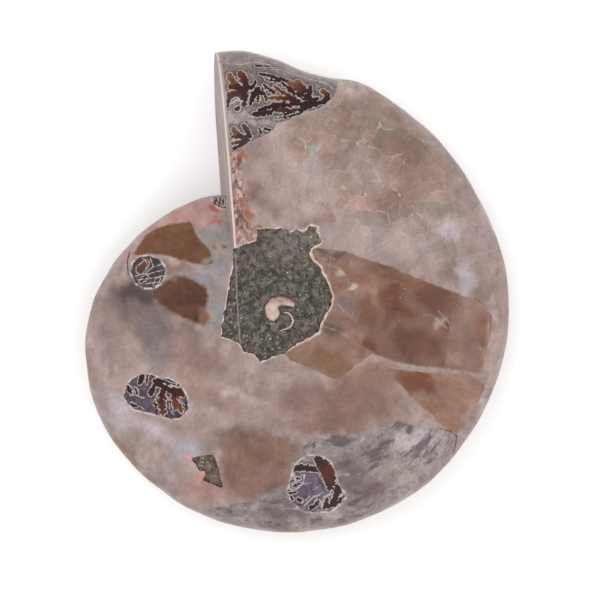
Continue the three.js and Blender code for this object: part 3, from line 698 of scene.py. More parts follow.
LEAVES: list[Leaf] = [
    Leaf([(-7.8, 39.6), (-8.8, 41.0), (-9.2, 42.0)], 0.45, 0.42, 2, 0.7, (0.3, 0.95)),
    Leaf([(-6.2, 39.8), (-6.5, 41.4), (-7.2, 42.3)], 0.5, 0.55, 2, 0.8, (0.25, 0.6)),
    Leaf([(-4.8, 39.8), (-4.5, 40.7)], 0.22, 0.25, 0, 0.0, (0.1, 0.2)),
    Leaf([(-9.0, 39.7), (-7.0, 39.5), (-5.2, 39.6)], 0.4, 0.45, 2, 0.6, (0.3, 0.1)),
    Leaf([(-6.4, 38.8), (-7.8, 38.4), (-9.2, 38.2)], 0.6, 0.5, 2, 0.7, (0.2, 0.45)),
    Leaf([(-6.4, 39.0), (-6.6, 37.6), (-6.5, 36.1)], 0.55, 0.28, 3, 0.7, (0.2, 0.0)),
    Leaf([(-8.9, 38.0), (-9.4, 37.0), (-9.4, 36.0)], 0.3, 0.22, 1, 0.4, (0.35, 0.3)),
    Leaf([(-7.8, 35.5), (-7.6, 35.6)], 0.42, 0.42, 0, 0.0, (0.05, 0.05)),
    Leaf([(-4.0, 39.2), (-4.8, 38.2), (-5.3, 36.5)], 0.5, 0.3, 2, 0.5, (0.0, 0.0)),
    Leaf([(-4.4, 38.9), (-3.2, 38.4)], 0.3, 0.35, 0, 0.0, (0.0, 0.0)),
    Leaf([(-3.9, 38.2), (-3.9, 36.9)], 0.15, 0.15, 1, 0.4, (0.0, 0.1)),
    Leaf([(1.3, 41.0), (-0.6, 41.5), (-2.0, 42.0), (-3.7, 42.3)], 0.3, 0.2, 3, 0.5, (0.05, 0.05)),
    Leaf([(2.7, 38.4), (1.5, 39.7), (0.3, 40.7), (-1.2, 41.0), (-2.5, 41.2)], 0.2, 0.12, 4, 0.45,
          (0.0, 0.1)), Leaf([(-1.0, 38.6), (-1.9, 39.3), (-2.9, 40.1)], 0.25, 0.2, 2, 0.4, (0.1, 0.0)),
    Leaf([(3.6, 37.0), (1.4, 38.3), (0.2, 39.0), (-0.9, 39.8)], 0.3, 0.2, 4, 0.5, (0.1, 0.75)),
    Leaf([(3.2, 37.0), (1.2, 37.6), (-0.3, 37.6), (-2.0, 37.6)], 0.38, 0.22, 4, 0.55, (0.2, 0.8)),
    Leaf([(-2.4, 37.0), (-2.7, 38.2), (-3.2, 39.5)], 0.12, 0.1, 2, 0.35, (0.1, 0.1)),
    Leaf([(4.6, 37.4), (2.6, 38.7), (1.6, 40.2)], 0.15, 0.12, 3, 0.35, (0.0, 0.2)),
    Leaf([(4.6, 39.0), (2.9, 40.1), (1.7, 40.8)], 0.42, 0.42, 2, 0.6, (0.25, 1.0)),
    Leaf([(4.8, 39.2), (4.0, 40.2), (3.3, 40.9)], 0.42, 0.45, 2, 0.6, (0.25, 0.9)),
    Leaf([(4.4, 39.1), (2.3, 39.6)], 0.28, 0.2, 2, 0.35, (0.3, 0.6)),
    Leaf([(5.3, 38.0), (5.6, 39.3), (5.7, 40.0)], 0.6, 0.32, 1, 0.5, (0.05, 0.45)),
    Leaf([(5.6, 37.9), (3.8, 38.5), (2.9, 38.6)], 0.32, 0.2, 2, 0.4, (0.0, 0.3)),
    Leaf([(8.7, 37.2), (8.8, 38.5), (8.0, 39.1)], 0.5, 0.5, 0, 0.0, (0.0, 0.8)),
    Leaf([(9.2, 37.7), (7.8, 37.0), (6.0, 36.4), (4.2, 36.1)], 0.3, 0.5, 3, 0.55, (0.0, 0.0)),
    Leaf([(6.9, 37.7), (5.4, 37.0), (3.2, 36.4), (2.0, 36.7)], 0.35, 0.2, 4, 0.6, (0.0, 0.05)),
    Leaf([(2.0, 36.2), (-0.6, 36.4), (-2.3, 35.7), (-3.6, 35.3)], 0.28, 0.35, 3, 0.6, (0.0, 0.0)),
    Leaf([(-2.0, 34.9), (-3.2, 34.6), (-4.6, 34.5)], 0.35, 0.42, 2, 0.5, (0.0, 0.0)),
    Leaf([(-0.2, 36.0), (-1.4, 35.1), (-2.1, 34.4)], 0.35, 0.2, 2, 0.45, (0.0, 0.0)),
    Leaf([(1.9, 35.2), (0.9, 35.3), (0.0, 35.3)], 0.38, 0.45, 1, 0.4, (0.2, 0.55)),
    Leaf([(4.7, 35.5), (2.8, 35.4), (1.0, 34.5)], 0.22, 0.22, 3, 0.45, (0.0, 0.1)),
    Leaf([(4.2, 35.0), (2.4, 34.3), (0.2, 33.8), (-0.9, 33.7)], 0.12, 0.1, 4, 0.3, (0.0, 0.1)),
    Leaf([(-7.2, 30.5), (-7.9, 31.1), (-8.4, 31.8)], 0.42, 0.35, 2, 0.5, (0.1, 0.9)),
    Leaf([(-5.4, 30.4), (-6.0, 31.6), (-6.5, 32.3)], 0.4, 0.38, 1, 0.4, (0.0, 0.45)),
    Leaf([(-5.3, 30.4), (-7.0, 30.1), (-8.6, 30.3)], 0.35, 0.2, 2, 0.35, (0.0, 0.1)),
    Leaf([(-5.6, 29.6), (-7.2, 29.4), (-8.6, 29.1)], 0.3, 0.22, 3, 0.35, (0.0, 0.5)),
    Leaf([(-6.0, 29.0), (-7.3, 28.6), (-8.3, 28.1)], 0.25, 0.3, 2, 0.3, (0.0, 0.1)),
    Leaf([(-3.2, 30.9), (-3.7, 31.9)], 0.12, 0.15, 1, 0.3, (0.3, 0.4)),
    Leaf([(-1.7, 31.5), (-2.6, 31.8)], 0.2, 0.25, 0, 0.0, (0.0, 0.0)),
    Leaf([(-0.6, 43.8), (-2.8, 43.9), (-4.4, 43.9)], 0.05, 0.2, 0, 0.0, (0.05, 0.05)),
    Leaf([(-18.2, -16.0), (-20.0, -16.1), (-21.6, -15.2), (-22.9, -14.4)], 0.42, 0.42, 3, 0.7,
          (0.3, 0.15)),
    Leaf([(-19.0, -15.0), (-20.8, -14.6), (-22.4, -14.0)], 0.1, 0.28, 0, 0.0, (0.0, 0.1)),
    Leaf([(-21.4, -16.2), (-21.9, -18.0), (-21.5, -20.4)], 0.5, 0.3, 4, 0.9, (0.3, 0.6)),
    Leaf([(-19.4, -16.4), (-19.3, -18.0), (-19.2, -19.4)], 0.5, 0.3, 2, 0.7, (0.25, 0.7)),
    Leaf([(-19.0, -18.2), (-18.3, -19.2), (-18.0, -19.9)], 0.38, 0.3, 2, 0.5, (0.6, 0.75)),
    Leaf([(-18.8, -16.2), (-17.8, -16.9)], 0.42, 0.4, 1, 0.4, (0.25, 0.4)),
    Leaf([(-23.1, -15.2), (-23.7, -16.6)], 0.3, 0.5, 1, 0.4, (0.25, 0.35)),
    Leaf([(-25.3, -13.4), (-25.7, -14.7)], 0.48, 0.36, 0, 0.0, (0.0, 0.0)),
    Leaf([(-24.3, -13.4), (-24.5, -14.8)], 0.16, 0.16, 1, 0.3, (0.3, 0.55)),
    Leaf([(-28.0, -15.4), (-27.4, -16.6)], 0.25, 0.2, 1, 0.35, (0.0, 0.0)),
    Leaf([(-27.4, -18.7), (-26.5, -19.0)], 0.25, 0.2, 0, 0.0, (0.0, 0.1)),
    Leaf([(-26.6, -15.6), (-26.2, -16.8)], 0.12, 0.12, 2, 0.3, (0.0, 0.0)),
    Leaf([(7.0, -28.7), (8.0, -29.9), (8.8, -31.5)], 0.7, 1.15, 3, 1.4, (0.15, 0.45)),
    Leaf([(8.8, -31.5), (9.2, -33.0), (9.3, -34.4)], 1.15, 0.25, 3, 0.8, (0.45, 0.3)),
    Leaf([(2.9, -30.3), (5.0, -30.3), (6.9, -30.6)], 0.55, 0.5, 3, 0.5, (0.0, 0.0)),
    Leaf([(2.5, -32.1), (3.8, -32.4)], 0.12, 0.14, 1, 0.3, (0.1, 0.1)),
    Leaf([(2.0, -33.9), (3.9, -33.2)], 0.1, 0.12, 1, 0.3, (0.0, 0.1)),
    Leaf([(1.9, -35.0), (3.0, -34.9)], 0.2, 0.14, 0, 0.0, (0.0, 0.0)),
    Leaf([(10.7, -33.8), (10.5, -35.6), (9.8, -37.0)], 0.45, 0.6, 3, 0.6, (0.0, 0.0)),
    Leaf([(11.8, -35.7), (10.4, -37.2), (8.2, -37.8)], 0.18, 0.3, 3, 0.5, (0.0, 0.1)),
    Leaf([(8.7, -36.0), (8.6, -37.2)], 0.15, 0.3, 2, 0.4, (0.1, 0.0)),
    Leaf([(7.2, -36.5), (6.5, -37.5), (5.7, -37.8)], 0.2, 0.3, 2, 0.4, (0.1, 0.0)),
    Leaf([(2.0, -35.8), (2.4, -36.2)], 0.25, 0.2, 0, 0.0, (0.05, 0.05)),
    Leaf([(3.4, -36.2), (4.0, -36.6)], 0.3, 0.2, 1, 0.4, (0.0, 0.0)),
    Leaf([(-25.7, 6.2), (-24.7, 7.3)], 0.75, 0.55, 0, 0.0, (0.4, 0.6)),
    Leaf([(-25.6, 3.9), (-24.6, 4.8)], 0.2, 0.3, 1, 0.4, (0.0, 0.1)),
    Leaf([(-22.9, 3.4), (-22.3, 4.4)], 0.2, 0.25, 1, 0.4, (0.0, 0.0)),
    Leaf([(-12.1, 18.3), (-11.8, 19.5)], 0.1, 0.14, 1, 0.3, (0.0, 0.0)),
    Leaf([(-11.3, 17.9), (-11.0, 19.6)], 0.12, 0.14, 2, 0.3, (0.0, 0.0)),
    Leaf([(-10.5, 18.0), (-10.5, 19.4)], 0.1, 0.14, 1, 0.3, (0.0, 0.0)),
]


class FlankMarks:
    """Distances to the marks, for places on one flank."""

    TINT_REACH = 1.45
    TINT_FADE = 1.0
    LOWER_TURN = 150.0
    LOWER_UMBILICUS_SHARE = 0.85

    def __init__(self, places: np.ndarray, side: Side) -> None:
        """Takes rows of x and y; the lower flank has the same kinds of marks, turned round the coil."""
        self.side = side
        self.places = places
        turn = math.radians(self.LOWER_TURN if side is Side.LOWER else 0)
        spin = np.array([[math.cos(turn), -math.sin(turn)], [math.sin(turn), math.cos(turn)]])
        self.turned = places @ spin.T

    def umbilicus(self) -> np.ndarray:
        """Signed distance to the edge of the sandstone."""
        share = self.LOWER_UMBILICUS_SHARE if self.side is Side.LOWER else 1.0
        return outline_distance(self.places / share, UMBILICUS) * share

    def pocket(self) -> np.ndarray:
        """Signed distance to the small hole, which only the upper flank has."""
        if self.side is Side.LOWER:
            return np.full(len(self.places), FAR)
        return outline_distance(self.places, POCKET)

    def zone(self, zone: Zone) -> np.ndarray:
        """Signed distance to a colour field."""
        return outline_distance(self.turned, zone.corners)

    def windows(self) -> np.ndarray:
        """Signed distance to the suture windows; the first two are on the upper flank only."""
        shown = WINDOWS if self.side is Side.UPPER else WINDOWS[2:]
        return np.min([outline_distance(self.turned, window) for window in shown], axis=0)

    def lines(self, lines: list[tuple[Stroke, float]]) -> np.ndarray:
        """Distance to the nearest line's edge."""
        return np.min([stroke_distance(self.turned, stroke) - wide for stroke, wide in lines], axis=0)

    def tints(self, patches: list[Tint], height: np.ndarray) -> np.ndarray:
        """Mixes soft patches of colour.

        Args:
            patches: The patches, in the order they lie.
            height: Height of each place over the middle plane, where the two flanks meet.

        Returns:
            Rows of red, green, blue and cover.
        """
        x, y = self.turned.T
        x, y = x + 0.5 * np.sin(1.1 * y + 0.6), y + 0.5 * np.sin(1.3 * x + 2.0)
        x, y = x + 0.18 * np.sin(3.1 * y + 1.9), y + 0.18 * np.sin(3.7 * x)
        mixed = np.tile(np.array([*tint("#a48e87")[:3], 0.0]), (len(x), 1))
        for patch in patches:
            turn = math.radians(patch.turn)
            across, along = x - patch.centre[0], y - patch.centre[1]
            long = (across * math.cos(turn) + along * math.sin(turn)) / patch.radii[0]
            wide = (along * math.cos(turn) - across * math.sin(turn)) / patch.radii[1]
            fade = np.clip((self.TINT_REACH - np.hypot(long, wide)) / self.TINT_FADE, 0, 1)
            share = patch.strength * fade * fade * (3 - 2 * fade)
            shade = np.array([*tint(patch.shade)[:3], 1.0])
            mixed += share[:, None] * (shade - mixed)
        mixed[:, 3] *= np.clip((np.abs(height) - 1.5) / 3.0, 0, 1)
        return mixed

    def leaves(self) -> tuple[np.ndarray, np.ndarray]:
        """Signed distance to the suture leaves, and the tone of the nearest one."""
        best = np.full(len(self.places), FAR)
        tone = np.zeros(len(self.places))
        for leaf in LEAVES:
            for start, end, wide, narrow, tone_in, tone_out in leaf.capsules():
                away, share = segment_distance(self.turned, start, end)
                away = away - (wide + (narrow - wide) * share)
                nearer = away < best
                best[nearer] = away[nearer]
                tone[nearer] = (tone_in + (tone_out - tone_in) * share)[nearer]
        return best, tone


# ----------------------------------------------------------------------------------------------------------
# The shell
# ----------------------------------------------------------------------------------------------------------


@dataclass
class Shell:
    """The whorls as one solid of shell and calcite, sawn at the mouth."""

    mouth_angle: float = 103.7
    half_breadth: float = 12.4
    breadth_decay: float = 0.08
    shoulder_radius: float = 11.0
    inner_radius: float = 5.0
    flank_power: float = 2.2
    ground_flat: float = 9.4
    newer: tuple[float, float] = (-30.0, 160.0)
    older: tuple[float, float] = (150.0, 375.0)
    rows: int = 100
    join_lap: float = 0.05
    fine_cuts: int = 3
    fine_reach: float = 0.5
    cut_offset: float = 7.5
    cut_yaw: float = 4.0
    cut_lean: float = 6.5
    floor: float = 4.6
    hole_floor: float = 2.5
    nick_floor: float = 9.6
    curl_top: float = 9.75
    hook_top: float = 9.7

    VENTER = [
        (-30, 53.6), (0, 48.4), (7, 47.4), (13, 45.7), (19, 43.9), (25, 43.3), (34, 43.8), (44, 43.1),
        (74, 42.2), (94, 42.7), (106, 43.0), (124, 43.0), (132, 43.2), (140, 43.4), (154, 43.7), (184, 43.1),
        (214, 42.3), (234, 41.2), (254, 39.6), (274, 36.9), (284, 35.1),
        (304, 30.5), (314, 28.3), (324, 26.6), (344, 23.4), (380, 20.5),
    ]
    CURL = [
        ((2.4, -0.2), 0.5), ((1.4, 0.25), 0.75), ((0.2, 0.4), 0.8), ((-1.0, 0.1), 0.95), ((-1.5, -0.9), 1.1),
        ((-1.25, -1.8), 1.3), ((-1.2, -2.5), 0.8),
    ]
    HOOK = [
        ((0.8, -1.7), 0.1), ((1.6, -1.8), 0.16), ((2.2, -2.4), 0.18), ((2.5, -3.3), 0.18),
        ((2.2, -4.1), 0.17),
        ((1.6, -4.6), 0.15), ((0.6, -4.9), 0.12), ((-0.1, -5.2), 0.07),
    ]

    def breadth(self, turn: np.ndarray) -> np.ndarray:
        """Half the natural thickness of the coil at a turn."""
        return self.half_breadth * np.exp(-self.breadth_decay * np.radians(turn))

    def swell(self, turn: np.ndarray, fall: np.ndarray) -> np.ndarray:
        """How far hand polishing has left the skin out of its true form, at turns and falls of the flank."""
        along = np.radians(turn)
        return (
            0.09 * np.sin(5.3 * along + 2.1 * fall)
            + 0.06 * np.sin(11.7 * along - 3.7 * fall + 1.0)
            + 0.035 * np.sin(27.1 * along + 6.3 * fall + 2.0)
            + 0.05 * np.sin(23.0 * along + 2.0 * np.sin(5.0 * along)) * np.sin(fall) ** 6
            + 0.02 * np.sin(53.0 * along + 3.0 * np.sin(9.0 * along)) * np.sin(fall) ** 6
        )

    def flank_height(self, places: np.ndarray) -> np.ndarray:
        """Height of the upper flank above the middle plane, at places well behind the mouth."""
        turn = (self.mouth_angle - np.degrees(np.arctan2(places[:, 1], places[:, 0]))) % 360
        venter = smooth_through(self.VENTER, turn)
        radius = np.hypot(places[:, 0], places[:, 1])
        reach = (radius - self.shoulder_radius) / (venter - self.shoulder_radius)
        fall = np.arcsin(np.clip(reach, 0, 1) ** (self.flank_power / 2))
        return self.breadth(turn) * np.cos(fall)

    def wrapped(self, turn: np.ndarray, lap: np.ndarray) -> np.ndarray:
        """Places of the coil's skin.

        Args:
            turn: Turns round the coil.
            lap: Shares of the way round a section: up the upper flank to the venter, back along the lower
                flank and up the inner wall.

        Returns:
            Rows of x, y and z.
        """
        turn, lap = np.round(turn, 3), np.round(lap, 5)
        breadth = self.breadth(turn)
        mirrored = np.where(lap <= 0.5, lap, 1.0 - lap)
        fall = np.clip((mirrored - self.join_lap) / (0.5 - self.join_lap), 0, 1) * math.pi / 2
        reach = np.sin(fall) ** (2 / self.flank_power)
        swell = self.swell(turn, fall)
        radius = self.shoulder_radius + (smooth_through(self.VENTER, turn) - self.shoulder_radius) * reach
        radius = radius + swell * np.sin(fall)
        flat = np.clip(mirrored / self.join_lap, 0, 1)
        inner = self.inner_radius + (self.shoulder_radius - self.inner_radius) * flat
        radius = np.where(mirrored < self.join_lap, inner, radius)
        height = breadth * np.cos(fall) + swell * np.cos(fall)
        height = np.where(lap <= 0.5, height, -np.minimum(height, self.ground_flat))
        radius = np.where(lap > 0.999, self.inner_radius, radius)
        height = np.where(lap > 0.999, breadth, height)
        angle = np.radians(self.mouth_angle - turn)
        return np.column_stack([radius * np.cos(angle), radius * np.sin(angle), height])

    def detail(self, places: np.ndarray) -> np.ndarray:
        """How near places are to the fine marks, with 0 on them."""
        near = np.full(len(places), FAR)
        for side in Side:
            rows = (places[:, 2] > 0) == (side is Side.UPPER)
            marks = FlankMarks(places[rows, :2], side)
            near[rows] = np.minimum(marks.windows(), marks.lines(DARK_LINES + PALE_LINES[1:] + RUBBLE))
        return near

    def half(self, name: str, turns: tuple[float, float]) -> bpy.types.Object:
        """Skins the coil between two turns.

        Args:
            name: Name of the object.
            turns: First and last turn.

        Returns:
            The closed solid.
        """
        columns = round(turns[1] - turns[0])
        bpy.ops.mesh.primitive_grid_add(x_subdivisions=columns, y_subdivisions=self.rows, size=2)
        piece = bpy.context.object
        piece.name = name
        self._refine(piece, turns)
        flat = coordinates(piece)
        set_coordinates(piece, self._on_skin(flat, turns))
        bpy.ops.object.mode_set(mode="EDIT")
        bpy.ops.mesh.select_all(action="SELECT")
        bpy.ops.mesh.remove_doubles(threshold=0.0005)
        bpy.ops.mesh.select_all(action="DESELECT")
        bpy.ops.mesh.select_mode(type="EDGE")
        bpy.ops.mesh.select_non_manifold()
        bpy.ops.mesh.fill_holes(sides=0)
        bpy.ops.mesh.select_all(action="SELECT")
        bpy.ops.mesh.normals_make_consistent(inside=False)
        bpy.ops.object.mode_set(mode="OBJECT")
        return piece

    def _on_skin(self, flat: np.ndarray, turns: tuple[float, float]) -> np.ndarray:
        """Wraps a flat sheet from -1 to 1 round the coil between two turns."""
        turn = turns[0] + (flat[:, 0] + 1) / 2 * (turns[1] - turns[0])
        return self.wrapped(turn, (flat[:, 1] + 1) / 2)

    def _refine(self, sheet: bpy.types.Object, turns: tuple[float, float]) -> None:
        """Splits the faces of the flat sheet that will carry fine marks."""
        centres = np.array([face.center for face in sheet.data.polygons])
        pick_faces(sheet, self.detail(self._on_skin(centres, turns)) < self.fine_reach)
        bpy.ops.mesh.subdivide(number_cuts=self.fine_cuts)
        bpy.ops.object.mode_set(mode="OBJECT")

    def mouth_frame(self) -> Matrix:
        """Where the sawn face is: its X axis points out of the removed part, into the shell."""
        lean = Matrix.Rotation(math.radians(self.cut_lean), 4, "Y")
        yaw = Matrix.Rotation(math.radians(self.cut_yaw), 4, "Z")
        return Matrix.Translation((-self.cut_offset, 0, self.half_breadth)) @ yaw @ lean

    def _saw_mouth(self, piece: bpy.types.Object) -> None:
        """Takes away everything in front of the mouth."""
        bpy.ops.mesh.primitive_cube_add(size=180)
        block = bpy.context.object
        block.data.transform(self.mouth_frame() @ Matrix.Translation((-90, 0, 0)))
        combine(piece, block, "DIFFERENCE")

    def _limb(self, stations: list[tuple[tuple[float, float], float]], top: float) -> bpy.types.Object:
        """A bit of the innermost whorl that stands up through the sandstone: a row of overlapping posts."""
        posts = []
        for (start, wide), (end, narrow) in zip(stations, stations[1:]):
            for share in np.linspace(0, 1, 6)[:-1]:
                centre = np.array(start) + (np.array(end) - np.array(start)) * share
                radius = wide + (narrow - wide) * share
                bpy.ops.mesh.primitive_uv_sphere_add(
                    segments=24, ring_count=16, radius=1, location=(centre[0], centre[1], top - radius * 0.6)
                )
                posts.append(bpy.context.object)
                posts[-1].scale = (radius, radius, radius * 0.6 + 0.25)
        for post in posts:
            post.select_set(True)
        bpy.ops.object.transform_apply(location=True, rotation=False, scale=True)
        bpy.ops.object.join()
        limb = bpy.context.object
        remesh = limb.modifiers.new("melt", "REMESH")
        remesh.mode = "VOXEL"
        remesh.voxel_size = 0.09
        smooth = limb.modifiers.new("smooth", "SMOOTH")
        smooth.iterations = 3
        apply_all(limb)
        return limb

    def build(self, material: bpy.types.Material) -> bpy.types.Object:
        """Models the whorls.

        Args:
            material: Their finish.

        Returns:
            The finished piece.
        """
        piece = self.half("whorls", self.newer)
        older = self.half("older_whorl", self.older)
        self._saw_mouth(piece)
        combine(piece, older, "UNION")
        bpy.ops.mesh.primitive_cylinder_add(vertices=96, radius=8, depth=10)
        combine(piece, bpy.context.object, "UNION")
        rim = roughened(roughened(UMBILICUS, 0.4, 0.3, 1.1), 0.2, 0.1, 0.3)
        share = FlankMarks.LOWER_UMBILICUS_SHARE
        lower = [(x * share, y * share) for x, y in rim]
        combine(piece, prism("hollow", rim, self.floor, ABOVE_ALL), "DIFFERENCE")
        combine(piece, prism("hollow", lower, -ABOVE_ALL, 1 - self.floor), "DIFFERENCE")
        hole = roughened(POCKET, 0.3, 0.08, 0.4)
        combine(piece, prism("hollow", hole, self.hole_floor, ABOVE_ALL), "DIFFERENCE")
        combine(piece, nick_cutter(self.nick_floor), "DIFFERENCE")
        limbs = [self._limb(self.CURL, self.curl_top), self._limb(self.HOOK, self.hook_top)]
        shell_count = len(piece.data.vertices)
        activate(piece)
        for limb in limbs:
            limb.select_set(True)
        bpy.ops.object.join()
        self._mark(piece, shell_count)
        finish_piece(piece, ["ammonite_whorls"], material)
        return piece

    def _mark(self, piece: bpy.types.Object, shell_count: int) -> None:
        """Stores the distances that the finish reads.

        Args:
            piece: The whorls, with the bits of the innermost whorl last.
            shell_count: How many vertices come before those bits.
        """
        places = coordinates(piece)
        stored: dict[str, np.ndarray] = {}
        layers = {name: np.zeros((len(places), 4)) for name in TINT_LAYERS}
        for side in Side:
            rows = (places[:, 2] > 0) == (side is Side.UPPER)
            marks = FlankMarks(places[rows, :2], side)
            leaf, tone = marks.leaves()
            for name, patches in TINT_LAYERS.items():
                layers[name][rows] = marks.tints(patches, places[rows, 2])
            values = {
                "umbilicus": marks.umbilicus(), "pocket": marks.pocket(), "window": marks.windows(),
                "leaf": leaf, "leaf_tone": tone, "thread": marks.lines(THREADS),
                "pale_line": marks.lines(PALE_LINES), "dark_line": marks.lines(DARK_LINES),
                **{zone.name: marks.zone(zone) for zone in ZONES + WINDOW_ZONES},
            }
            for name, found in values.items():
                stored.setdefault(name, np.full(len(places), FAR))[rows] = found
        angle = np.degrees(np.arctan2(places[:, 1], places[:, 0]))
        turn = (self.mouth_angle - angle) % 360
        inward = self.mouth_frame().inverted()
        behind = places @ np.array(inward.to_3x3())[0] + inward[0][3]
        newest = (behind > -0.02) & (places[:, 1] > 6) & (angle > 0) & (angle < 140)
        turn = np.where((turn > 330) & newest, turn - 360, turn)
        radius = np.hypot(places[:, 0], places[:, 1])
        stored["margin"] = smooth_through(self.VENTER, turn) - radius
        stored["mouth"] = np.where(newest, np.abs(behind), FAR)
        stored["flank"] = np.abs(places[:, 2])
        stored["innermost"] = (np.arange(len(places)) >= shell_count).astype(float)
        stored["turn"] = turn
        for name, found in stored.items():
            store(piece, name, found)
        for name, colours in layers.items():
            store_colours(piece, name, colours)


def nick_cutter(floor: float) -> bpy.types.Object:
    """The blade of the saw where it ran on past the mouth, down to a floor height."""
    there = [(x - HALF_KERF, y) for x, y in CUT_LINE]
    back = [(x + HALF_KERF, y) for x, y in reversed(CUT_LINE[:-1])]
    return prism("nick", there + back, floor, ABOVE_ALL)


# ----------------------------------------------------------------------------------------------------------
# The sandstone
# ----------------------------------------------------------------------------------------------------------


@dataclass
class Sandstone:
    """One body of sandstone with a gritty top.

    Attributes:
        name: Name of the piece.
        node: The node it stands for.
        outline: Its edge.
        side: The flank it is on.
        span: Side of the square of grid that covers the outline.
        centre: Middle of that square.
        cells: Grid cells along the square.
        bottom: Height of its hidden end, counted outwards from the middle plane.
        relief: Travel of the grains.
    """

    name: str
    node: str
    outline: Outline
    side: Side
    span: float
    centre: tuple[float, float]
    cells: int
    bottom: float
    relief: float

    EDGE_HEIGHT = [
        (-45, 9.8), (0, 10.5), (45, 11.1), (90, 11.4), (106, 10.6), (122, 8.6), (140, 7.5), (180, 7.9),
        (225, 8.5), (270, 9.1), (315, 9.8), (360, 10.5),
    ]
    CENTRE_HEIGHT = 9.3
    EDGE_RADIUS = 12.0
    POCKET_DEPTH = 0.45
    NICK_FLOOR = 9.5
    WORN_SHARE = 0.8
    WORN_BACK = 0.5

    def top(self, places: np.ndarray) -> np.ndarray:
        """Height of the worn top, counted outwards from the middle plane."""
        if self.node == "flank_matrix_pocket":
            return Shell().flank_height(places) - self.POCKET_DEPTH
        angle = np.degrees(np.arctan2(places[:, 1], places[:, 0])) % 360
        share = np.clip(np.hypot(places[:, 0], places[:, 1]) / self.EDGE_RADIUS, 0, 1.1)
        height = self.CENTRE_HEIGHT + share * (smooth_through(self.EDGE_HEIGHT, angle) - self.CENTRE_HEIGHT)
        return height * self.WORN_SHARE - self.WORN_BACK if self.side is Side.LOWER else height

    def build(self, material: bpy.types.Material) -> bpy.types.Object:
        """Models the sandstone.

        Args:
            material: Its finish.

        Returns:
            The finished piece.
        """
        bpy.ops.mesh.primitive_grid_add(x_subdivisions=self.cells, y_subdivisions=self.cells, size=self.span)
        piece = bpy.context.object
        piece.name = self.name
        flat = coordinates(piece) + np.array([self.centre[0], self.centre[1], 0])
        flat[:, 2] = self.top(flat)
        set_coordinates(piece, flat)
        displace(piece, cloud_texture("lumps", 1.6, 2), self.relief * 1.6)
        displace(piece, grain_texture("grains", 0.42), self.relief)
        displace(piece, grain_texture("fine_grains", 0.22), self.relief * 0.5)
        bpy.ops.object.mode_set(mode="EDIT")
        bpy.ops.mesh.select_all(action="SELECT")
        bpy.ops.mesh.region_to_loop()
        bpy.ops.mesh.extrude_edges_move(TRANSFORM_OT_translate={"value": (0, 0, -30)})
        bpy.ops.mesh.edge_face_add()
        bpy.ops.mesh.select_all(action="SELECT")
        bpy.ops.mesh.normals_make_consistent(inside=False)
        bpy.ops.object.mode_set(mode="OBJECT")
        combine(piece, prism("edge", self.outline, self.bottom, ABOVE_ALL), "INTERSECT")
        if self.node == "umbilicus_matrix":
            combine(piece, nick_cutter(self.NICK_FLOOR), "DIFFERENCE")
        if self.side is Side.LOWER:
            piece.data.transform(Matrix.Scale(-1, 4, (0, 0, 1)))
            piece.data.flip_normals()
        store(piece, "cut", stroke_distance(coordinates(piece)[:, :2], CUT_LINE))
        finish_piece(piece, [self.node], material)
        return piece


# ----------------------------------------------------------------------------------------------------------
# Finishes
# ----------------------------------------------------------------------------------------------------------

STUDIO_LIGHT = 1.42
GLOSS_LIFT = 0.024


def tint(shade: str) -> tuple[float, float, float, float]:
    """Turns a colour written as it is seen in the studio light, such as #8f7f70, into the shader's colour."""
    parts = [int(shade[i : i + 2], 16) / 255 for i in (1, 3, 5)]
    linear = [part / 12.92 if part <= 0.04045 else ((part + 0.055) / 1.055) ** 2.4 for part in parts]
    return (*(max(part - GLOSS_LIFT, 0.004) / STUDIO_LIGHT for part in linear), 1.0)


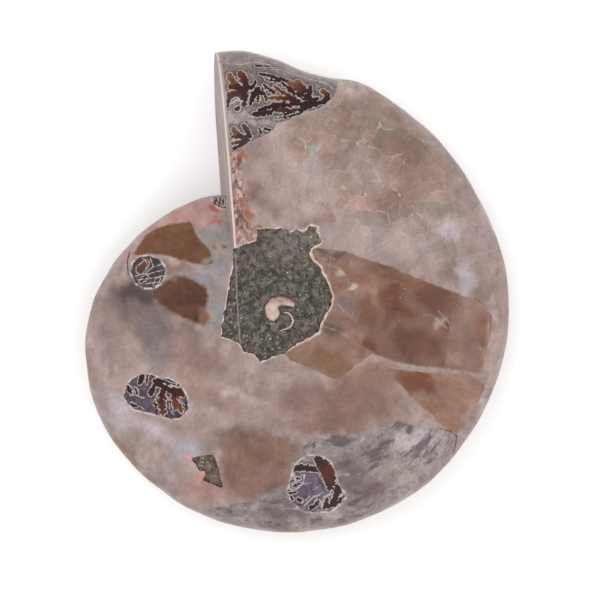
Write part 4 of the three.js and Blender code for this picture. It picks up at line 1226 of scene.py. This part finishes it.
class Graph:
    """Short calls that add nodes to one node tree."""

    def __init__(self, tree: bpy.types.NodeTree) -> None:
        """Takes the tree that is built."""
        self.tree = tree

    def feed(self, socket: bpy.types.NodeSocket, value: Any) -> None:
        """Gives a socket a link, a colour written as text, or a plain value."""
        if isinstance(value, bpy.types.NodeSocket):
            self.tree.links.new(value, socket)
        else:
            socket.default_value = tint(value) if isinstance(value, str) else value

    def add(self, kind: str, feeds: dict[str | int, Any], **settings: Any) -> bpy.types.Node:
        """Adds a node.

        Args:
            kind: Type of the node, without the words that all types share.
            feeds: What its inputs get, by name or number.
            **settings: Other settings of the node.

        Returns:
            The node.
        """
        node = self.tree.nodes.new("ShaderNode" + kind)
        for name, value in settings.items():
            setattr(node, name, value)
        for socket, value in feeds.items():
            self.feed(node.inputs[socket], value)
        return node

    def calc(self, operation: str, *values: Any) -> bpy.types.NodeSocket:
        """Adds a sum of one, two or three values."""
        return self.add("Math", dict(enumerate(values)), operation=operation).outputs[0]

    def times(self, one: Any, other: Any) -> bpy.types.NodeSocket:
        """Multiplies two values."""
        return self.calc("MULTIPLY", one, other)

    def rest(self, share: Any) -> bpy.types.NodeSocket:
        """What a share leaves of the whole."""
        return self.calc("SUBTRACT", 1.0, share)

    def blend(self, share: Any, under: Any, over: Any, how: str = "MIX") -> bpy.types.NodeSocket:
        """Lays one colour over another.

        Args:
            share: How much of the upper colour shows.
            under: The lower colour.
            over: The upper colour.
            how: Way of blending.

        Returns:
            The blended colour.
        """
        return self.add("Mix", {0: share, 6: under, 7: over}, data_type="RGBA", blend_type=how).outputs[2]

    def step(self, value: Any, low: Any, high: Any) -> bpy.types.NodeSocket:
        """Adds a soft step that goes from 0 at one value to 1 at another."""
        feeds = {0: value, 1: low, 2: high}
        return self.add("MapRange", feeds, interpolation_type="SMOOTHSTEP").outputs[0]

    def noise(self, vector: Any, scale: float, detail: float = 2, rough: float = 0.5) -> bpy.types.NodeSocket:
        """Adds soft noise around a half, with its scale in lumps for each millimetre."""
        feeds = {"Vector": vector, "Scale": scale, "Detail": detail, "Roughness": rough}
        return self.add("TexNoise", feeds).outputs[0]

    def cells(self, vector: Any, scale: float, feature: str = "F1") -> bpy.types.Node:
        """Adds a pattern of cells."""
        return self.add("TexVoronoi", {"Vector": vector, "Scale": scale}, feature=feature)

    def stored(self, name: str) -> bpy.types.NodeSocket:
        """Reads a value that is kept on the piece."""
        return self.add("Attribute", {}, attribute_name=name).outputs[2]

    def place(self, turn: float = 0, stretch: tuple[float, float, float] = (1, 1, 1)) -> bpy.types.NodeSocket:
        """Reads the place on the piece in millimetres, turned and stretched about the coil axis.

        Args:
            turn: Turn about the coil axis in degrees.
            stretch: Scale along each axis after the turn.

        Returns:
            The place.
        """
        where = self.add("TexCoord", {}).outputs["Object"]
        moved = self.add("VectorMath", {0: where, 1: tuple(COIL_AXIS * MM)}, operation="SUBTRACT").outputs[0]
        feeds = {
            "Vector": moved,
            "Rotation": (0, 0, math.radians(turn)),
            "Scale": tuple(side / MM for side in stretch),
        }
        return self.add("Mapping", feeds).outputs[0]

    def warp(self, vector: Any, scale: float, amount: float) -> bpy.types.NodeSocket:
        """Bends a pattern by soft noise."""
        feeds = {"Vector": vector, "Scale": scale, "Detail": 2.0}
        stray = self.add("TexNoise", feeds).outputs[1]
        pushed = self.add("VectorMath", {0: stray, 1: (0.5, 0.5, 0.5)}, operation="SUBTRACT").outputs[0]
        scaled = self.add("VectorMath", {0: pushed, "Scale": amount}, operation="SCALE").outputs[0]
        return self.add("VectorMath", {0: vector, 1: scaled}, operation="ADD").outputs[0]

    def use(self, effect: "Effect", **feeds: Any) -> bpy.types.Node:
        """Places a shared effect."""
        node = self.tree.nodes.new("ShaderNodeGroup")
        node.node_tree = effect.tree
        for name, value in feeds.items():
            self.feed(node.inputs[name.replace("_", " ")], value)
        return node


class Effect:
    """A node group that several finishes share."""

    KINDS = {"value": "NodeSocketFloat", "colour": "NodeSocketColor", "vector": "NodeSocketVector"}

    def __init__(self, name: str, takes: dict[str, str], gives: dict[str, str]) -> None:
        """Starts the group.

        Args:
            name: Name of the group.
            takes: Inputs and their kinds.
            gives: Outputs and their kinds.
        """
        self.tree = bpy.data.node_groups.new(name, "ShaderNodeTree")
        for way, sockets in (("INPUT", takes), ("OUTPUT", gives)):
            for socket, kind in sockets.items():
                self.tree.interface.new_socket(socket, in_out=way, socket_type=self.KINDS[kind])
        self.graph = Graph(self.tree)
        self.inputs = self.tree.nodes.new("NodeGroupInput").outputs
        self.outputs = self.tree.nodes.new("NodeGroupOutput").inputs

    def give(self, name: str, value: bpy.types.NodeSocket) -> None:
        """Sends a value out of the group."""
        self.graph.feed(self.outputs[name], value)


class Effects:
    """The shared effects."""

    def __init__(self) -> None:
        """Builds each effect once."""
        self.field = self._field()
        self.mottle = self._mottle()
        self.veins = self._veins()
        self.specks = self._specks()
        self.grit = self._grit()

    def _field(self) -> Effect:
        """Inside of an outline with a soft, uneven edge."""
        effect = Effect(
            "outlined_field",
            {"distance": "value", "softness": "value", "wobble": "value", "ripple": "value"},
            {"mask": "value"},
        )
        graph, takes = effect.graph, effect.inputs
        stray = graph.times(graph.calc("SUBTRACT", takes["ripple"], 0.5), takes["wobble"])
        moved = graph.calc("MULTIPLY_ADD", stray, 2.0, takes["distance"])
        share = graph.calc("DIVIDE", moved, takes["softness"])
        effect.give("mask", graph.rest(graph.step(share, -1.0, 1.0)))
        return effect

    def _mottle(self) -> Effect:
        """Two colours in soft patches."""
        effect = Effect(
            "mottle",
            {"place": "vector", "scale": "value", "light": "colour", "dark": "colour"},
            {"colour": "colour"},
        )
        graph, takes = effect.graph, effect.inputs
        patches = graph.noise(takes["place"], 1.0, 5, 0.6)
        graph.feed(patches.node.inputs["Scale"], takes["scale"])
        share = graph.step(patches, 0.36, 0.64)
        effect.give("colour", graph.blend(share, takes["light"], takes["dark"]))
        return effect

    def _veins(self) -> Effect:
        """Fine healed cracks between blocks."""
        effect = Effect(
            "fine_veins",
            {"place": "vector", "scale": "value", "width": "value"},
            {"mask": "value"},
        )
        graph, takes = effect.graph, effect.inputs
        bent = graph.warp(takes["place"], 0.5, 1.6)
        blocks = graph.cells(bent, 1.0, "DISTANCE_TO_EDGE")
        graph.feed(blocks.inputs["Scale"], takes["scale"])
        away = graph.calc("DIVIDE", blocks.outputs["Distance"], takes["width"])
        line = graph.rest(graph.step(away, 0.3, 1.0))
        shown = graph.step(graph.noise(takes["place"], 0.28), 0.45, 0.62)
        effect.give("mask", graph.times(line, shown))
        return effect

    def _specks(self) -> Effect:
        """Scattered small round specks."""
        effect = Effect(
            "specks",
            {"place": "vector", "scale": "value", "size": "value", "share": "value"},
            {"mask": "value"},
        )
        graph, takes = effect.graph, effect.inputs
        spots = graph.cells(takes["place"], 1.0)
        graph.feed(spots.inputs["Scale"], takes["scale"])
        away = graph.calc("DIVIDE", spots.outputs["Distance"], takes["size"])
        spot = graph.rest(graph.step(away, 0.5, 1.0))
        lot = graph.add("SeparateColor", {0: spots.outputs["Color"]}).outputs[0]
        kept = graph.calc("LESS_THAN", lot, takes["share"])
        effect.give("mask", graph.times(spot, kept))
        return effect

    def _grit(self) -> Effect:
        """Grains of sand of several minerals in a dark cement."""
        takes = {"place": "vector", "scale": "value"}
        effect = Effect("grit", takes, {"colour": "colour", "height": "value"})
        graph, takes = effect.graph, effect.inputs
        grains = graph.cells(graph.warp(takes["place"], 3.0, 0.2), 1.0)
        graph.feed(grains.inputs["Scale"], takes["scale"])
        lot = graph.add("SeparateColor", {0: grains.outputs["Color"]}).outputs[1]
        ramp = graph.add("ValToRGB", {0: lot})
        sorts = [
            (0.0, "#353530"), (0.15, "#4f4c44"), (0.35, "#625b52"), (0.55, "#756d63"), (0.72, "#51463c"),
            (0.8, "#7b6350"), (0.86, "#8b8678"), (0.94, "#b0a898"), (0.985, "#dcd5c9"),
        ]
        band = ramp.color_ramp
        band.interpolation = "CONSTANT"
        for i, (start, shade) in enumerate(sorts):
            stop = band.elements[i] if i < 2 else band.elements.new(start)
            stop.position = start
            stop.color = tint(shade)
        edge = graph.step(grains.outputs["Distance"], 0.3, 0.75)
        cement = graph.blend(graph.times(edge, 0.6), ramp.outputs[0], "#2b2a26")
        effect.give("colour", cement)
        effect.give("height", graph.calc("SUBTRACT", 0.5, grains.outputs["Distance"]))
        return effect


def new_material(name: str) -> tuple[bpy.types.Material, Graph, bpy.types.Node]:
    """Starts a material.

    Args:
        name: Its name.

    Returns:
        The material, its graph and its surface shader.
    """
    material = bpy.data.materials.new(name)
    material.use_nodes = True
    return material, Graph(material.node_tree), material.node_tree.nodes["Principled BSDF"]


@dataclass(frozen=True)
class ShellFinish:
    """Polished fossil shell: thin shell over brown calcite chambers, with suture windows and worn rims.

    Attributes:
        name: Name of the material.
        sheen: Specular level all over.
        polish: Roughness of the polished skin.
        glassy: Roughness of the calcite in the windows.
        coarse: Roughness of sawn and broken faces.
    """

    name: str = "polished_shell"
    sheen: float = 0.25
    polish: float = 0.4
    glassy: float = 0.24
    coarse: float = 0.62

    def build(self, effects: Effects) -> bpy.types.Material:
        """Builds the finish.

        Args:
            effects: The shared effects.

        Returns:
            The material.
        """
        material, graph, surface = new_material(self.name)
        place = graph.place()
        ripple = graph.noise(place, 0.9, 3, 0.6)
        colour = self._ground(graph, effects, place)
        colour = self._fields(graph, effects, place, ripple, colour)
        colour = self._grain(graph, place, colour)
        colour = self._lines(graph, effects, place, ripple, colour)
        colour, window = self._windows(graph, effects, place, ripple, colour)
        colour = self._rims(graph, effects, place, ripple, colour)
        colour, sawn = self._mouth(graph, effects, place, colour)
        innermost = graph.stored("innermost")
        colour = graph.blend(innermost, colour, self._pearl(graph, effects, place))
        graph.feed(surface.inputs["Base Color"], colour)
        smear = graph.calc("MULTIPLY_ADD", graph.calc("SUBTRACT", ripple, 0.5), 0.25, self.polish)
        rough = graph.add("Mix", {0: window, 2: smear, 3: self.glassy}).outputs[0]
        broken = graph.calc("MAXIMUM", sawn, innermost)
        rough = graph.add("Mix", {0: broken, 2: rough, 3: self.coarse}).outputs[0]
        graph.feed(surface.inputs["Roughness"], rough)
        surface.inputs["Specular IOR Level"].default_value = self.sheen
        fine = graph.noise(place, 3.0, 4, 0.6)
        broad = graph.noise(place, 0.22, 2)
        height = graph.calc("MULTIPLY_ADD", fine, 0.012, graph.times(broad, 0.1))
        bump = graph.add("Bump", {"Height": height, "Distance": MM, "Strength": 0.5})
        graph.feed(surface.inputs["Normal"], bump.outputs[0])
        return material

    def _ground(self, graph: Graph, effects: Effects, place: Any) -> bpy.types.NodeSocket:
        """The skin between the marked fields: mauve browns in patches, streaked across the coil."""
        mauve = graph.use(effects.mottle, place=place, scale=0.09, light="#a99590", dark="#92796f").outputs[0]
        bent = graph.warp(graph.place(35, (1, 0.4, 1)), 0.2, 3.0)
        pale = graph.use(effects.mottle, place=bent, scale=0.28, light="#b5a29f", dark="#a18b86").outputs[0]
        share = graph.step(graph.noise(graph.warp(place, 0.15, 5.0), 0.16, 4, 0.6), 0.42, 0.62)
        skin = graph.blend(share, mauve, pale)
        return self._tinted(graph, "ground_tints", 0.95, skin)

    def _pearl(self, graph: Graph, effects: Effects, place: Any) -> bpy.types.NodeSocket:
        """The innermost whorls: cream shell, brown and crumbly above, grey in their middle."""
        cream = graph.use(effects.mottle, place=place, scale=0.9, light="#dccac3", dark="#c6a99d").outputs[0]
        across = graph.add("SeparateXYZ", {0: graph.warp(place, 1.5, 0.6)}).outputs
        brown = graph.use(effects.mottle, place=place, scale=1.7, light="#bd9a8a", dark="#8f6d5c").outputs[0]
        colour = graph.blend(graph.times(graph.step(across[1], -0.6, 0.5), 0.8), cream, brown)
        middle = graph.add("VectorMath", {0: place, 1: (0.1, -0.7, 0.3)}, operation="DISTANCE").outputs[1]
        return graph.blend(graph.rest(graph.step(middle, 0.5, 1.1)), colour, "#8d8078")

    def _tinted(self, graph: Graph, layer: str, cover: Any, colour: Any) -> bpy.types.NodeSocket:
        """Lays one layer of soft patches over a colour, as far as a cover lets it."""
        tints = graph.add("Attribute", {}, attribute_name=layer).outputs
        return graph.blend(graph.times(tints["Alpha"], cover), colour, tints["Color"])

    def _grain(self, graph: Graph, place: Any, colour: Any) -> bpy.types.NodeSocket:
        """Fine unevenness of tone that runs over every field: clouds, growth lines and a fine grain."""
        clouds = graph.step(graph.noise(graph.warp(place, 0.2, 4.0), 0.24, 5, 0.6), 0.25, 0.75)
        colour = graph.blend(0.2, colour, clouds, "OVERLAY")
        around = graph.times(graph.stored("turn"), 1.1)
        inward = graph.times(graph.stored("margin"), 0.12)
        lines = graph.noise(graph.add("CombineXYZ", {0: around, 1: inward}).outputs[0], 1.0, 3, 0.6)
        colour = graph.blend(0.06, colour, graph.step(lines, 0.25, 0.75), "OVERLAY")
        bent = graph.warp(graph.place(25, (1, 0.55, 1)), 0.4, 1.2)
        middling = graph.step(graph.noise(bent, 0.75, 4, 0.6), 0.3, 0.7)
        colour = graph.blend(0.05, colour, middling, "OVERLAY")
        fine = graph.step(graph.noise(place, 1.8, 4, 0.7), 0.25, 0.75)
        return graph.blend(0.11, colour, fine, "OVERLAY")

    def _fields(
        self, graph: Graph, effects: Effects, place: Any, ripple: Any, colour: Any
    ) -> bpy.types.NodeSocket:
        """Lays the coloured fields over the skin, and keeps them off the venter."""
        on_flank = graph.step(graph.stored("flank"), 1.0, 3.0)
        wedge_mask: Any = 0.0
        streaks = graph.place(-35, (1, 0.35, 1))
        for number, zone in enumerate(ZONES):
            pattern = streaks if zone.name == "lilac" else place
            scale = 0.62 if zone.name == "lilac" else 0.35 + 0.05 * (number % 3)
            light, dark = zone.colours
            paint = graph.use(effects.mottle, place=pattern, scale=scale, light=light, dark=dark)
            inside = graph.use(
                effects.field, distance=graph.stored(zone.name), softness=zone.softness, wobble=zone.wobble,
                ripple=ripple,
            ).outputs[0]
            share = graph.times(graph.times(inside, zone.strength), on_flank)
            cover = paint.outputs[0]
            if zone.name == "lilac":
                cover = self._shot_colour(graph, place, cover)
            elif zone.name == "rust":
                cover = self._crumbled(graph, place, cover)
            colour = graph.blend(share, colour, cover)
            if zone.name in ("wedge_core", "triangle"):
                wedge = wedge_mask if zone.name == "wedge_core" else share
                colour = self._tinted(graph, "wedge_tints", wedge, colour)
            if zone.name == "wedge":
                wedge_mask = share
        return self._tinted(graph, "top_tints", 1.0, colour)

    def _crumbled(self, graph: Graph, place: Any, colour: Any) -> bpy.types.NodeSocket:
        """Broken edge by the saw cut: crumbs of dark brown, rust and pinkish shell."""
        crumbs = graph.warp(graph.place(0, (1, 0.6, 1)), 1.4, 0.5)
        colour = graph.blend(graph.step(graph.noise(crumbs, 1.7, 3, 0.6), 0.5, 0.58), colour, "#c9afa7")
        dark = graph.step(graph.noise(crumbs, 1.3, 4, 0.65), 0.5, 0.56)
        low = graph.add("SeparateXYZ", {0: place}).outputs[1]
        dark = graph.times(dark, graph.step(low, 12.0, 14.5))
        colour = graph.blend(graph.times(dark, 0.9), colour, "#5e4238")
        colour = self._tinted(graph, "rust_tints", 0.85, colour)
        rusty = graph.noise(place, 1.9, 3, 0.6)
        return graph.blend(graph.times(graph.step(rusty, 0.6, 0.66), 0.8), colour, "#a5694a")

    def _shot_colour(self, graph: Graph, place: Any, colour: Any) -> bpy.types.NodeSocket:
        """Bare calcite under the shell: violet dashes and cream clouds that run round the coil."""
        around = graph.times(graph.stored("turn"), 0.6)
        inward = graph.times(graph.stored("margin"), 0.62)
        along = graph.add("CombineXYZ", {0: graph.times(around, 0.26), 1: inward}).outputs[0]
        bent = graph.warp(along, 0.5, 1.9)
        dashes = graph.noise(bent, 0.62, 5, 0.66)
        cream = graph.noise(graph.warp(place, 0.3, 2.0), 0.3, 3, 0.6)
        colour = graph.blend(graph.times(graph.step(cream, 0.5, 0.64), 0.7), colour, "#b5a699")
        colour = self._tinted(graph, "lilac_tints", 0.85, colour)
        colour = graph.blend(graph.times(graph.step(dashes, 0.5, 0.62), 0.85), colour, "#63555b")
        glints = graph.step(dashes, 0.42, 0.32)
        colour = graph.blend(graph.times(glints, 0.65), colour, "#bcb0ad")
        crumbs = graph.step(graph.noise(graph.warp(place, 0.8, 1.0), 1.5, 3, 0.65), 0.52, 0.64)
        return graph.blend(graph.times(crumbs, 0.5), colour, "#6a5d60")

    def _lines(
        self, graph: Graph, effects: Effects, place: Any, ripple: Any, colour: Any
    ) -> bpy.types.NodeSocket:
        """Healed cracks, pale seams, an open crack and dust in the pits."""
        across = graph.add("SeparateXYZ", {0: place}).outputs
        outer = graph.step(graph.calc("ADD", across[0], across[1]), 22, 32)
        shown = graph.times(outer, graph.step(across[1], 8, 14))
        bent = graph.warp(graph.warp(place, 0.25, 4.0), 1.2, 0.5)
        blocks = graph.add("SeparateColor", {0: graph.cells(bent, 0.2).outputs["Color"]}).outputs
        colour = graph.blend(graph.times(shown, 0.16), colour, blocks[0], "OVERLAY")
        borders = graph.cells(bent, 0.2, "DISTANCE_TO_EDGE").outputs[0]
        edges = graph.rest(graph.step(borders, 0.006, 0.03))
        broken = graph.step(graph.noise(place, 0.45, 3, 0.6), 0.5, 0.6)
        veins = graph.times(graph.times(edges, broken), shown)
        fine = graph.use(effects.veins, place=place, scale=0.3, width=0.03).outputs[0]
        veins = graph.calc("MAXIMUM", veins, graph.times(graph.times(fine, 0.5), shown))
        colour = graph.blend(graph.times(veins, 0.6), colour, "#c9b7a9")
        pale = graph.use(
            effects.field, distance=graph.stored("pale_line"), softness=0.22, wobble=0.3, ripple=ripple
        )
        patchy = graph.step(graph.noise(place, 0.8, 3), 0.3, 0.6)
        colour = graph.blend(graph.times(graph.times(pale.outputs[0], patchy), 0.7), colour, "#b89f94")
        dark = graph.use(
            effects.field, distance=graph.stored("dark_line"), softness=0.08, wobble=0.08, ripple=ripple
        )
        colour = graph.blend(graph.times(dark.outputs[0], 0.9), colour, "#4c3128")
        dust = graph.use(effects.specks, place=place, scale=1.1, size=0.16, share=0.34).outputs[0]
        dusty = graph.times(dust, graph.step(graph.noise(place, 0.22, 3, 0.6), 0.5, 0.6))
        colour = graph.blend(graph.times(dusty, 0.55), colour, "#d4c7be")
        pits = graph.use(effects.specks, place=place, scale=0.8, size=0.13, share=0.12).outputs[0]
        return graph.blend(graph.times(pits, 0.5), colour, "#6d4f43")

    def _windows(
        self, graph: Graph, effects: Effects, place: Any, ripple: Any, colour: Any
    ) -> tuple[bpy.types.NodeSocket, bpy.types.NodeSocket]:
        """Suture windows: frilled dark lobes with cream outlines and threads, in grey calcite.

        Returns:
            The colour and the mask of the windows.
        """
        window = graph.stored("window")
        halo = graph.use(effects.field, distance=window, softness=0.9, wobble=0.6, ripple=ripple).outputs[0]
        colour = graph.blend(graph.times(halo, 0.5), colour, "#b8acaa")
        rim = graph.step(graph.calc("ABSOLUTE", graph.calc("SUBTRACT", window, 0.12)), 0.28, 0.06)
        lower = graph.step(graph.add("SeparateXYZ", {0: place}).outputs[1], 22, 18)
        rim = graph.times(rim, graph.times(graph.step(ripple, 0.42, 0.6), lower))
        colour = graph.blend(rim, colour, "#cfc4c4")
        frill = graph.calc("SUBTRACT", graph.noise(graph.warp(place, 0.9, 0.7), 2.1, 3, 0.65), 0.5)
        leaf = graph.calc("MULTIPLY_ADD", frill, 0.8, graph.calc("SUBTRACT", graph.stored("leaf"), 0.08))
        cell = graph.use(effects.mottle, place=place, scale=0.8, light="#9c9190", dark="#736869").outputs[0]
        for zone in WINDOW_ZONES:
            light, dark = zone.colours
            paint = graph.use(effects.mottle, place=place, scale=0.7, light=light, dark=dark)
            share = graph.use(
                effects.field, distance=graph.stored(zone.name), softness=zone.softness, wobble=zone.wobble,
                ripple=ripple,
            )
            cell = graph.blend(graph.times(share.outputs[0], zone.strength), cell, paint.outputs[0])
        fine = graph.noise(graph.warp(graph.place(-35, (1, 0.5, 1)), 1.0, 1.0), 1.3, 2, 0.5)
        fine = graph.calc("ABSOLUTE", graph.calc("SUBTRACT", fine, 0.5))
        fine = graph.rest(graph.step(fine, 0.012, 0.05))
        cell = graph.blend(graph.times(fine, 0.35), cell, "#3a3033")
        dim = graph.times(graph.step(leaf, 0.75, 0.2), 0.55)
        cell = graph.blend(dim, cell, "#4d4246")
        tone = graph.calc("MULTIPLY_ADD", graph.calc("SUBTRACT", ripple, 0.5), 0.7, graph.stored("leaf_tone"))
        ramp = graph.add("ValToRGB", {0: tone})
        stops = [(0.0, "#3c2d31"), (0.3, "#48302a"), (0.6, "#673e34"), (1.0, "#7f5f42")]
        for i, (start, shade) in enumerate(stops):
            stop = ramp.color_ramp.elements[i] if i < 2 else ramp.color_ramp.elements.new(start)
            stop.position = start
            stop.color = tint(shade)
        inside = graph.step(leaf, 0.02, -0.07)
        line = graph.step(leaf, 0.17, 0.1)
        patch = graph.blend(graph.times(line, graph.step(frill, -0.22, 0.0)), cell, "#bdb1aa")
        patch = graph.blend(inside, patch, ramp.outputs[0])
        thread = graph.calc("MULTIPLY_ADD", frill, 0.35, graph.stored("thread"))
        shown = graph.times(graph.step(thread, 0.05, -0.03), graph.step(ripple, 0.3, 0.5))
        patch = graph.blend(graph.times(shown, 0.85), patch, "#bcb1b0")
        inner = graph.use(effects.field, distance=window, softness=0.06, wobble=0.25, ripple=ripple)
        upright = graph.times(inner.outputs[0], graph.step(graph.stored("flank"), 1.5, 2.5))
        return graph.blend(upright, colour, patch), upright

    def _rims(
        self, graph: Graph, effects: Effects, place: Any, ripple: Any, colour: Any
    ) -> bpy.types.NodeSocket:
        """Broken shell round the sandstone: a pale lip, widest on the side away from the saw cut."""
        away = graph.stored("umbilicus")
        across = graph.add("SeparateXYZ", {0: place}).outputs
        wide = graph.calc("MULTIPLY_ADD", graph.step(across[0], 1.0, 6.0), 0.3, 0.14)
        lip = graph.calc("DIVIDE", away, wide)
        lip = graph.calc("MULTIPLY_ADD", graph.calc("SUBTRACT", ripple, 0.5), 2.0, lip)
        shown = graph.rest(graph.step(lip, 0.5, 1.3))
        pale = graph.use(effects.mottle, place=place, scale=1.4, light="#dccac3", dark="#c3a498").outputs[0]
        colour = graph.blend(shown, colour, pale)
        rim = graph.use(
            effects.field, distance=graph.stored("pocket"), softness=0.25, wobble=0.35, ripple=ripple
        )
        red = graph.use(effects.mottle, place=place, scale=1.6, light="#cf7c74", dark="#96483f").outputs[0]
        return graph.blend(rim.outputs[0], colour, red)

    def _mouth(
        self, graph: Graph, effects: Effects, place: Any, colour: Any
    ) -> tuple[bpy.types.NodeSocket, bpy.types.NodeSocket]:
        """The sawn face, and the bright line along its edge.

        Returns:
            The colour and the mask of the sawn face.
        """
        behind = graph.stored("mouth")
        sawn = graph.rest(graph.step(behind, 0.01, 0.03))
        edge = graph.rest(graph.step(behind, 0.26, 0.5))
        patchy = graph.step(graph.noise(place, 0.7, 3), 0.2, 0.4)
        colour = graph.blend(graph.times(edge, patchy), colour, "#dccfcc")
        face = graph.use(
            effects.mottle, place=graph.place(0, (1, 0.3, 1)), scale=0.8, light="#b8a7a2", dark="#a08f86"
        ).outputs[0]
        return graph.blend(sawn, colour, face), sawn


@dataclass(frozen=True)
class SandstoneFinish:
    """Dark greenish sandstone with single pale and brown grains.

    Attributes:
        name: Name of the material.
        cast: Colour that the whole is shaded with.
        share: How strongly.
        scale: Grains for each millimetre.
    """

    name: str
    cast: str
    share: float
    scale: float = 3.2

    def build(self, effects: Effects) -> bpy.types.Material:
        """Builds the finish.

        Args:
            effects: The shared effects.

        Returns:
            The material.
        """
        material, graph, surface = new_material(self.name)
        place = graph.place()
        grit = graph.use(effects.grit, place=place, scale=self.scale)
        colour = graph.blend(self.share, grit.outputs[0], self.cast)
        broad = graph.step(graph.noise(place, 0.35, 3, 0.6), 0.35, 0.65)
        colour = graph.blend(graph.times(broad, 0.35), colour, "#6b6763")
        up = graph.step(graph.add("SeparateXYZ", {0: place}).outputs[1], 4, 12)
        colour = graph.blend(graph.times(up, 0.3), colour, "#a0958f")
        brown = graph.step(graph.noise(graph.warp(place, 0.5, 1.5), 0.5, 3, 0.6), 0.55, 0.7)
        colour = graph.blend(graph.times(brown, 0.45), colour, "#6d5847")
        rough = graph.step(graph.noise(place, 0.22, 3, 0.6), 0.42, 0.6)
        pits = graph.use(effects.specks, place=graph.warp(place, 1.5, 0.6), scale=1.2, size=0.36, share=0.45)
        colour = graph.blend(graph.times(pits.outputs[0], rough), colour, "#22211e")
        lumps = graph.noise(graph.warp(place, 1.2, 0.6), 0.95, 4, 0.65)
        colour = graph.blend(graph.times(graph.step(lumps, 0.48, 0.38), 0.6), colour, "#35322e")
        colour = graph.blend(graph.times(graph.step(lumps, 0.5, 0.64), 0.6), colour, "#8f867c")
        sparks = graph.use(effects.specks, place=place, scale=0.7, size=0.16, share=0.05).outputs[0]
        colour = graph.blend(sparks, colour, "#e4ddd2")
        trail = graph.rest(graph.step(graph.stored("cut"), 0.08, 0.2))
        colour = graph.blend(graph.times(trail, 0.7), colour, "#a3978a")
        graph.feed(surface.inputs["Base Color"], colour)
        surface.inputs["Roughness"].default_value = 0.8
        height = graph.times(grit.outputs[1], 0.1)
        bump = graph.add("Bump", {"Height": height, "Distance": MM, "Strength": 0.6})
        graph.feed(surface.inputs["Normal"], bump.outputs[0])
        return material


# ----------------------------------------------------------------------------------------------------------
# Stage
# ----------------------------------------------------------------------------------------------------------


@dataclass(frozen=True)
class Studio:
    """A pale floor, soft lights and a camera that looks straight down.

    Attributes:
        camera_place: Place of the camera in millimetres, in the row frame.
        lens: Focal length in millimetres.
        floor_size: Side of the floor in metres.
        sky: Strength of the light from all round.
    """

    camera_place: tuple[float, float, float] = (0.33, -1.51, 384.4)
    lens: float = 120.0
    floor_size: float = 3.0
    sky: float = 0.8

    LIGHTS = [
        ("key_light", (-0.4, 0.35, 0.5), 1.0, 3.45),
        ("fill_light", (0.5, -0.1, 0.5), 1.0, 2.5),
        ("front_light", (0.0, -0.55, 0.45), 1.0, 1.9),
    ]

    def build(self) -> None:
        """Sets up the floor, the lights, the world and the camera."""
        bpy.ops.mesh.primitive_grid_add(x_subdivisions=4, y_subdivisions=4, size=self.floor_size)
        floor = bpy.context.object
        floor.name = "studio_floor"
        floor.data.materials.append(self._floor_paint())
        for name, place, size, power in self.LIGHTS:
            bpy.ops.object.light_add(type="AREA", location=place)
            light = bpy.context.object
            light.name = name
            light.data.shape = "DISK"
            light.data.size = size
            light.data.energy = power
            light.rotation_euler = Vector(place).to_track_quat("Z", "Y").to_euler()
        world = bpy.data.worlds.new("studio_sky")
        world.use_nodes = True
        world.node_tree.nodes["Background"].inputs["Color"].default_value = (1.0, 1.0, 1.0, 1.0)
        world.node_tree.nodes["Background"].inputs["Strength"].default_value = self.sky
        bpy.context.scene.world = world
        bpy.ops.object.camera_add(location=tuple(Vector(self.camera_place) * MM))
        camera = bpy.context.object
        camera.data.lens = self.lens
        camera.data.clip_start = 0.01
        bpy.context.scene.camera = camera
        bpy.context.scene.view_settings.view_transform = "Standard"

    def _floor_paint(self) -> bpy.types.Material:
        """Plain pale paint."""
        material, graph, surface = new_material("floor_paint")
        shade = graph.noise(graph.place(), 0.01, 1)
        pale, less_pale = (0.93, 0.93, 0.93, 1.0), (0.9, 0.9, 0.9, 1.0)
        graph.feed(surface.inputs["Base Color"], graph.blend(shade, pale, less_pale))
        surface.inputs["Roughness"].default_value = 0.9
        return material


# ----------------------------------------------------------------------------------------------------------
# The fossil
# ----------------------------------------------------------------------------------------------------------


class Fossil:
    """The ammonite: its whorls and the three bodies of sandstone in it."""

    def __init__(self, effects: Effects) -> None:
        """Takes the shared effects and lists the parts."""
        self.effects = effects
        self.shell = Shell()
        share = FlankMarks.LOWER_UMBILICUS_SHARE
        lower = [(x * share, y * share) for x, y in UMBILICUS]
        self.bodies = [
            (
                Sandstone("umbilicus_sandstone", "umbilicus_matrix", grown(UMBILICUS, 0.2), Side.UPPER, 30,
                          (0, 1.5), 210, 4.65, 0.3),
                SandstoneFinish("sandstone", "#5a5750", 0.25),
            ),
            (
                Sandstone("underside_sandstone", "umbilicus_matrix_underside", grown(lower, 0.2),
                          Side.LOWER, 26, (0, 1.2), 150, 3.65, 0.35),
                SandstoneFinish("underside_sandstone", "#5c564c", 0.3, 2.8),
            ),
            (
                Sandstone("pocket_sandstone", "flank_matrix_pocket", grown(POCKET, 0.1), Side.UPPER, 9,
                          (-13.5, -31.0), 70, 2.55, 0.22),
                SandstoneFinish("pocket_sandstone", "#83685c", 0.4, 3.0),
            ),
        ]

    def build(self) -> None:
        """Builds and reports every piece."""
        whorls = self.shell.build(ShellFinish().build(self.effects))
        LOG.info("%s spans %s m", whorls.name, tuple(round(side, 4) for side in whorls.dimensions))
        for body, finish in self.bodies:
            piece = body.build(finish.build(self.effects))
            LOG.info("%s spans %s m", piece.name, tuple(round(side, 4) for side in piece.dimensions))


def main() -> None:
    """Builds the fossil and its stage."""
    logging.basicConfig(level=logging.INFO, format="%(message)s")
    Fossil(Effects()).build()
    Studio().build()


if __name__ == "__main__":
    main()
